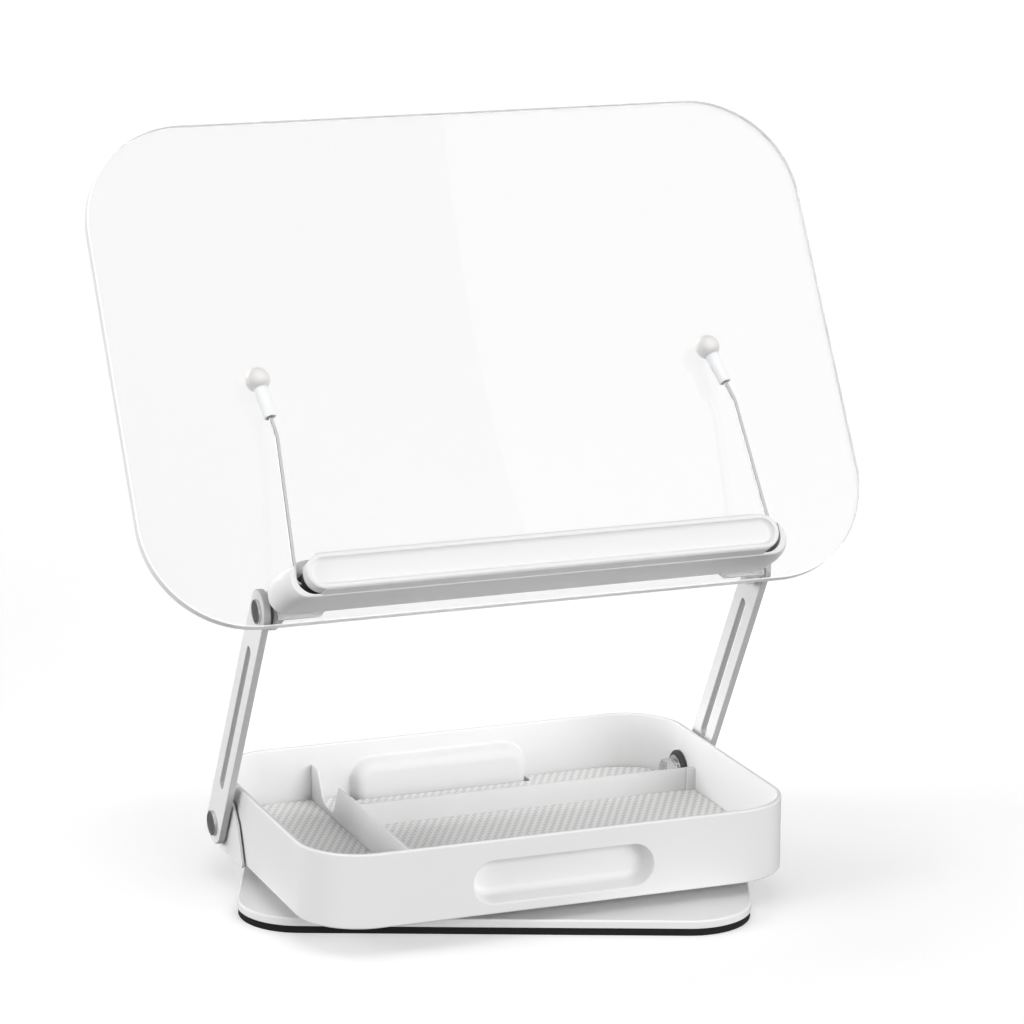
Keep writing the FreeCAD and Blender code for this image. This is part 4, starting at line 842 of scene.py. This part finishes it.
def tube(shell, path, radius, steps=20):
    """A round bar along a path of points."""
    rings, side = [], Vector((0.3, 0.9, 0.2))
    for i, p in enumerate(path):
        way = (path[min(i + 1, len(path) - 1)] - path[max(i - 1, 0)]).normalized()
        side = (side - way * side.dot(way)).normalized()
        other = way.cross(side)
        spokes = disc_loop(radius, steps=steps)
        rings.append(shell.add([p + side * spoke.x + other * spoke.y for spoke in spokes]))
    shell.bands(rings)
    shell.cap(rings[0])
    shell.cap(rings[-1])


# Polished steel: mirror-bright along the rod
polished = new_material("polished_steel_rod", "#D2D2D3", Roughness=0.1, Metallic=1.0)

# Frosted silicone: milky, and light passes a little way into it
frosted = new_material("frosted_silicone", "#EEEFF0", Roughness=0.42, IOR=1.42, Subsurface_Weight=0.3,
                       Subsurface_Radius=(0.003, 0.003, 0.003), Subsurface_Scale=1.0)

# Bead-blasted steel: pale and matt
blasted = new_material("bead_blasted_steel", "#ECEAE8", Roughness=0.5, Metallic=0.4)
grain(blasted, size=0.4, height=0.01)

rod_radius, rod_out, rod_level, ball_size = 1.15, -24, 14, 6.5
neck, neck_radius = 3.2, 3.87
sleeve_grip = 8.8
for word, sign, kink_x, ball_x in (("left", -1, 124.6, 128.2), ("right", 1, 132.8, 125.6)):
    foot_in = Vector((sign * 121.5, rod_out, rod_level))
    foot = Vector((sign * 132.3, rod_out, rod_level))
    kink, tip = Vector((sign * kink_x, -11, 97)), Vector((sign * ball_x, -6.65, 129.6))
    along = (tip - kink).normalized()
    rod_end = tip - along * (neck + sleeve_grip)
    shell = Shell()
    tube(shell, bent([foot_in, foot, kink, rod_end], [2.6, 12]), rod_radius)
    piece("clip_rod_steel_" + word, shell, [polished], word + "_clip", [word + "_clip_rod"], rest)
    stand = rest @ Matrix.Translation(tip) @ along.to_track_quat("Z", "Y").to_matrix().to_4x4()
    shell = Shell()
    turned(shell, [(0, -neck), (0, -13.4), (1.17, -13.4), (1.17, -20), (2.6, -22.2), (2.9, -22.2),
                   (3.2, -22.0), (3.32, -21.6), (3.85, -neck)], steps=48)
    piece("clip_sleeve_frosted_" + word, shell, [frosted], word + "_clip",
          [word + "_clip_sleeve"], stand)
    profile = []
    for k in range(41):
        angle = math.radians(-53.5 + 143.5 * k / 40)
        profile.append((max(0, ball_size * math.cos(angle)), ball_size * math.sin(angle)))
    shell = Shell()
    turned(shell, profile + [(0, -neck), (neck_radius, -neck)], steps=64)
    piece("clip_ball_steel_" + word, shell, [blasted], word + "_clip", [word + "_clip_ball"], stand)


# Studio floor: a wide pale sheet. It is lifted to white where it is looked at, and keeps the
# stand's shadow
def seen_directly(tree):
    """1 for rays from the camera and for those that reach it through glass."""
    path = node(tree, "ShaderNodeLightPath")
    return node(tree, "ShaderNodeMath", [(0, path, "Is Camera Ray"), (1, path, "Is Transmission Ray")],
                operation="MAXIMUM")


floor_pale = bpy.data.materials.new("studio_floor")
floor_pale.use_nodes = True
tree = floor_pale.node_tree
tree.nodes.clear()
matt = node(tree, "ShaderNodeBsdfDiffuse", Color=linear("#7C7C7C"))
bright = node(tree, "ShaderNodeBsdfDiffuse", Color=linear("#DCDCDC"))
lift = node(tree, "ShaderNodeEmission", Color=(1, 1, 1, 1), Strength=0.40)
lifted = node(tree, "ShaderNodeAddShader", [(0, bright, 0), (1, lift, 0)])
both = node(tree, "ShaderNodeMixShader", [(0, seen_directly(tree), 0), (1, matt, 0), (2, lifted, 0)])
node(tree, "ShaderNodeOutputMaterial", [("Surface", both, 0)])
mesh = bpy.data.meshes.new("studio_floor")
far = 60.0
mesh.from_pydata([(-far, -far, 0), (far, -far, 0), (far, far, 0), (-far, far, 0)], [], [(0, 1, 2, 3)])
mesh.materials.append(floor_pale)
ground = bpy.data.objects.new("studio_floor", mesh)
bpy.context.scene.collection.objects.link(ground)

# World: mirrors see one broad light in front above, with calm sides; the camera sees plain white
world = bpy.data.worlds.new("studio")
bpy.context.scene.world = world
world.use_nodes = True
tree = world.node_tree
tree.nodes.clear()
light_way = (0.34, -0.63, 0.7)
place = node(tree, "ShaderNodeTexCoord")
facing = node(tree, "ShaderNodeVectorMath", [(0, place, "Generated"), (1, light_way)],
              operation="DOT_PRODUCT")
softbox = node(tree, "ShaderNodeMapRange", [("Value", facing, "Value")], interpolation_type="SMOOTHSTEP",
               **{"From Min": 0.1, "From Max": 0.85, "To Min": 0.5, "To Max": 1.0})
dim = node(tree, "ShaderNodeBackground", Color=(1, 1, 1, 1), Strength=0.02)
mirrored = node(tree, "ShaderNodeBackground", [("Strength", softbox, 0)], Color=(1, 1, 1, 1))
path = node(tree, "ShaderNodeLightPath")
unseen = node(tree, "ShaderNodeMixShader", [(0, path, "Is Glossy Ray"), (1, dim, 0), (2, mirrored, 0)])
white = node(tree, "ShaderNodeBackground", Color=(1, 1, 1, 1), Strength=1.0)
both = node(tree, "ShaderNodeMixShader", [(0, seen_directly(tree), 0), (1, unseen, 0), (2, white, 0)])
node(tree, "ShaderNodeOutputWorld", [("Surface", both, 0)])

# Lights: five broad soft suns, by the turn from the front to the right and the height in degrees
sun_width = math.radians(50)
for name, turn, height, strength in (("left_low", -90, 8, 3.2), ("behind_left_low", -150, 8, 2.2),
                                     ("front_low", 20, 8, 3.5), ("right_middle", 60, 35, 0.5),
                                     ("overhead", 0, 90, 0.8)):
    data = bpy.data.lights.new(name, "SUN")
    data.energy, data.angle = strength, sun_width
    sun = bpy.data.objects.new(name, data)
    turn, height = math.radians(turn), math.radians(height)
    stand = Vector((math.sin(turn) * math.cos(height), -math.cos(turn) * math.cos(height), math.sin(height)))
    sun.rotation_mode = "QUATERNION"
    sun.rotation_quaternion = (-stand).to_track_quat("-Z", "Y")
    sun.visible_glossy = False
    bpy.context.scene.collection.objects.link(sun)

# Camera: the photograph's place, direction and focal length, fitted to the stand's outlines
picture_width, focal_pixels = 1024, 4056.1
camera = bpy.data.cameras.new("photo_camera")
camera.sensor_width, camera.lens = 36, focal_pixels * 36 / picture_width
camera.clip_start, camera.clip_end = 0.05, 100
viewer = bpy.data.objects.new("photo_camera", camera)
yaw, pitch, roll = 0.374, 0.239, 0.006
eye = Vector((-0.753753, -1.942126, 0.709555))
look = Vector((math.sin(yaw) * math.cos(pitch), math.cos(yaw) * math.cos(pitch), -math.sin(pitch)))
level = Vector((math.cos(yaw), -math.sin(yaw), 0))
upward = level.cross(look)
right = level * math.cos(roll) + upward * math.sin(roll)
top = upward * math.cos(roll) - level * math.sin(roll)
viewer.matrix_world = Matrix.Translation(eye) @ Matrix((right, top, -look)).transposed().to_4x4()
bpy.context.scene.collection.objects.link(viewer)
bpy.context.scene.camera = viewer

scene = bpy.context.scene
scene.render.engine = "CYCLES"
scene.cycles.max_bounces = 16
scene.cycles.transmission_bounces = 12
scene.cycles.caustics_refractive = True
scene.cycles.caustics_reflective = False
scene.view_settings.view_transform = "Standard"
scene.view_settings.look = "None"
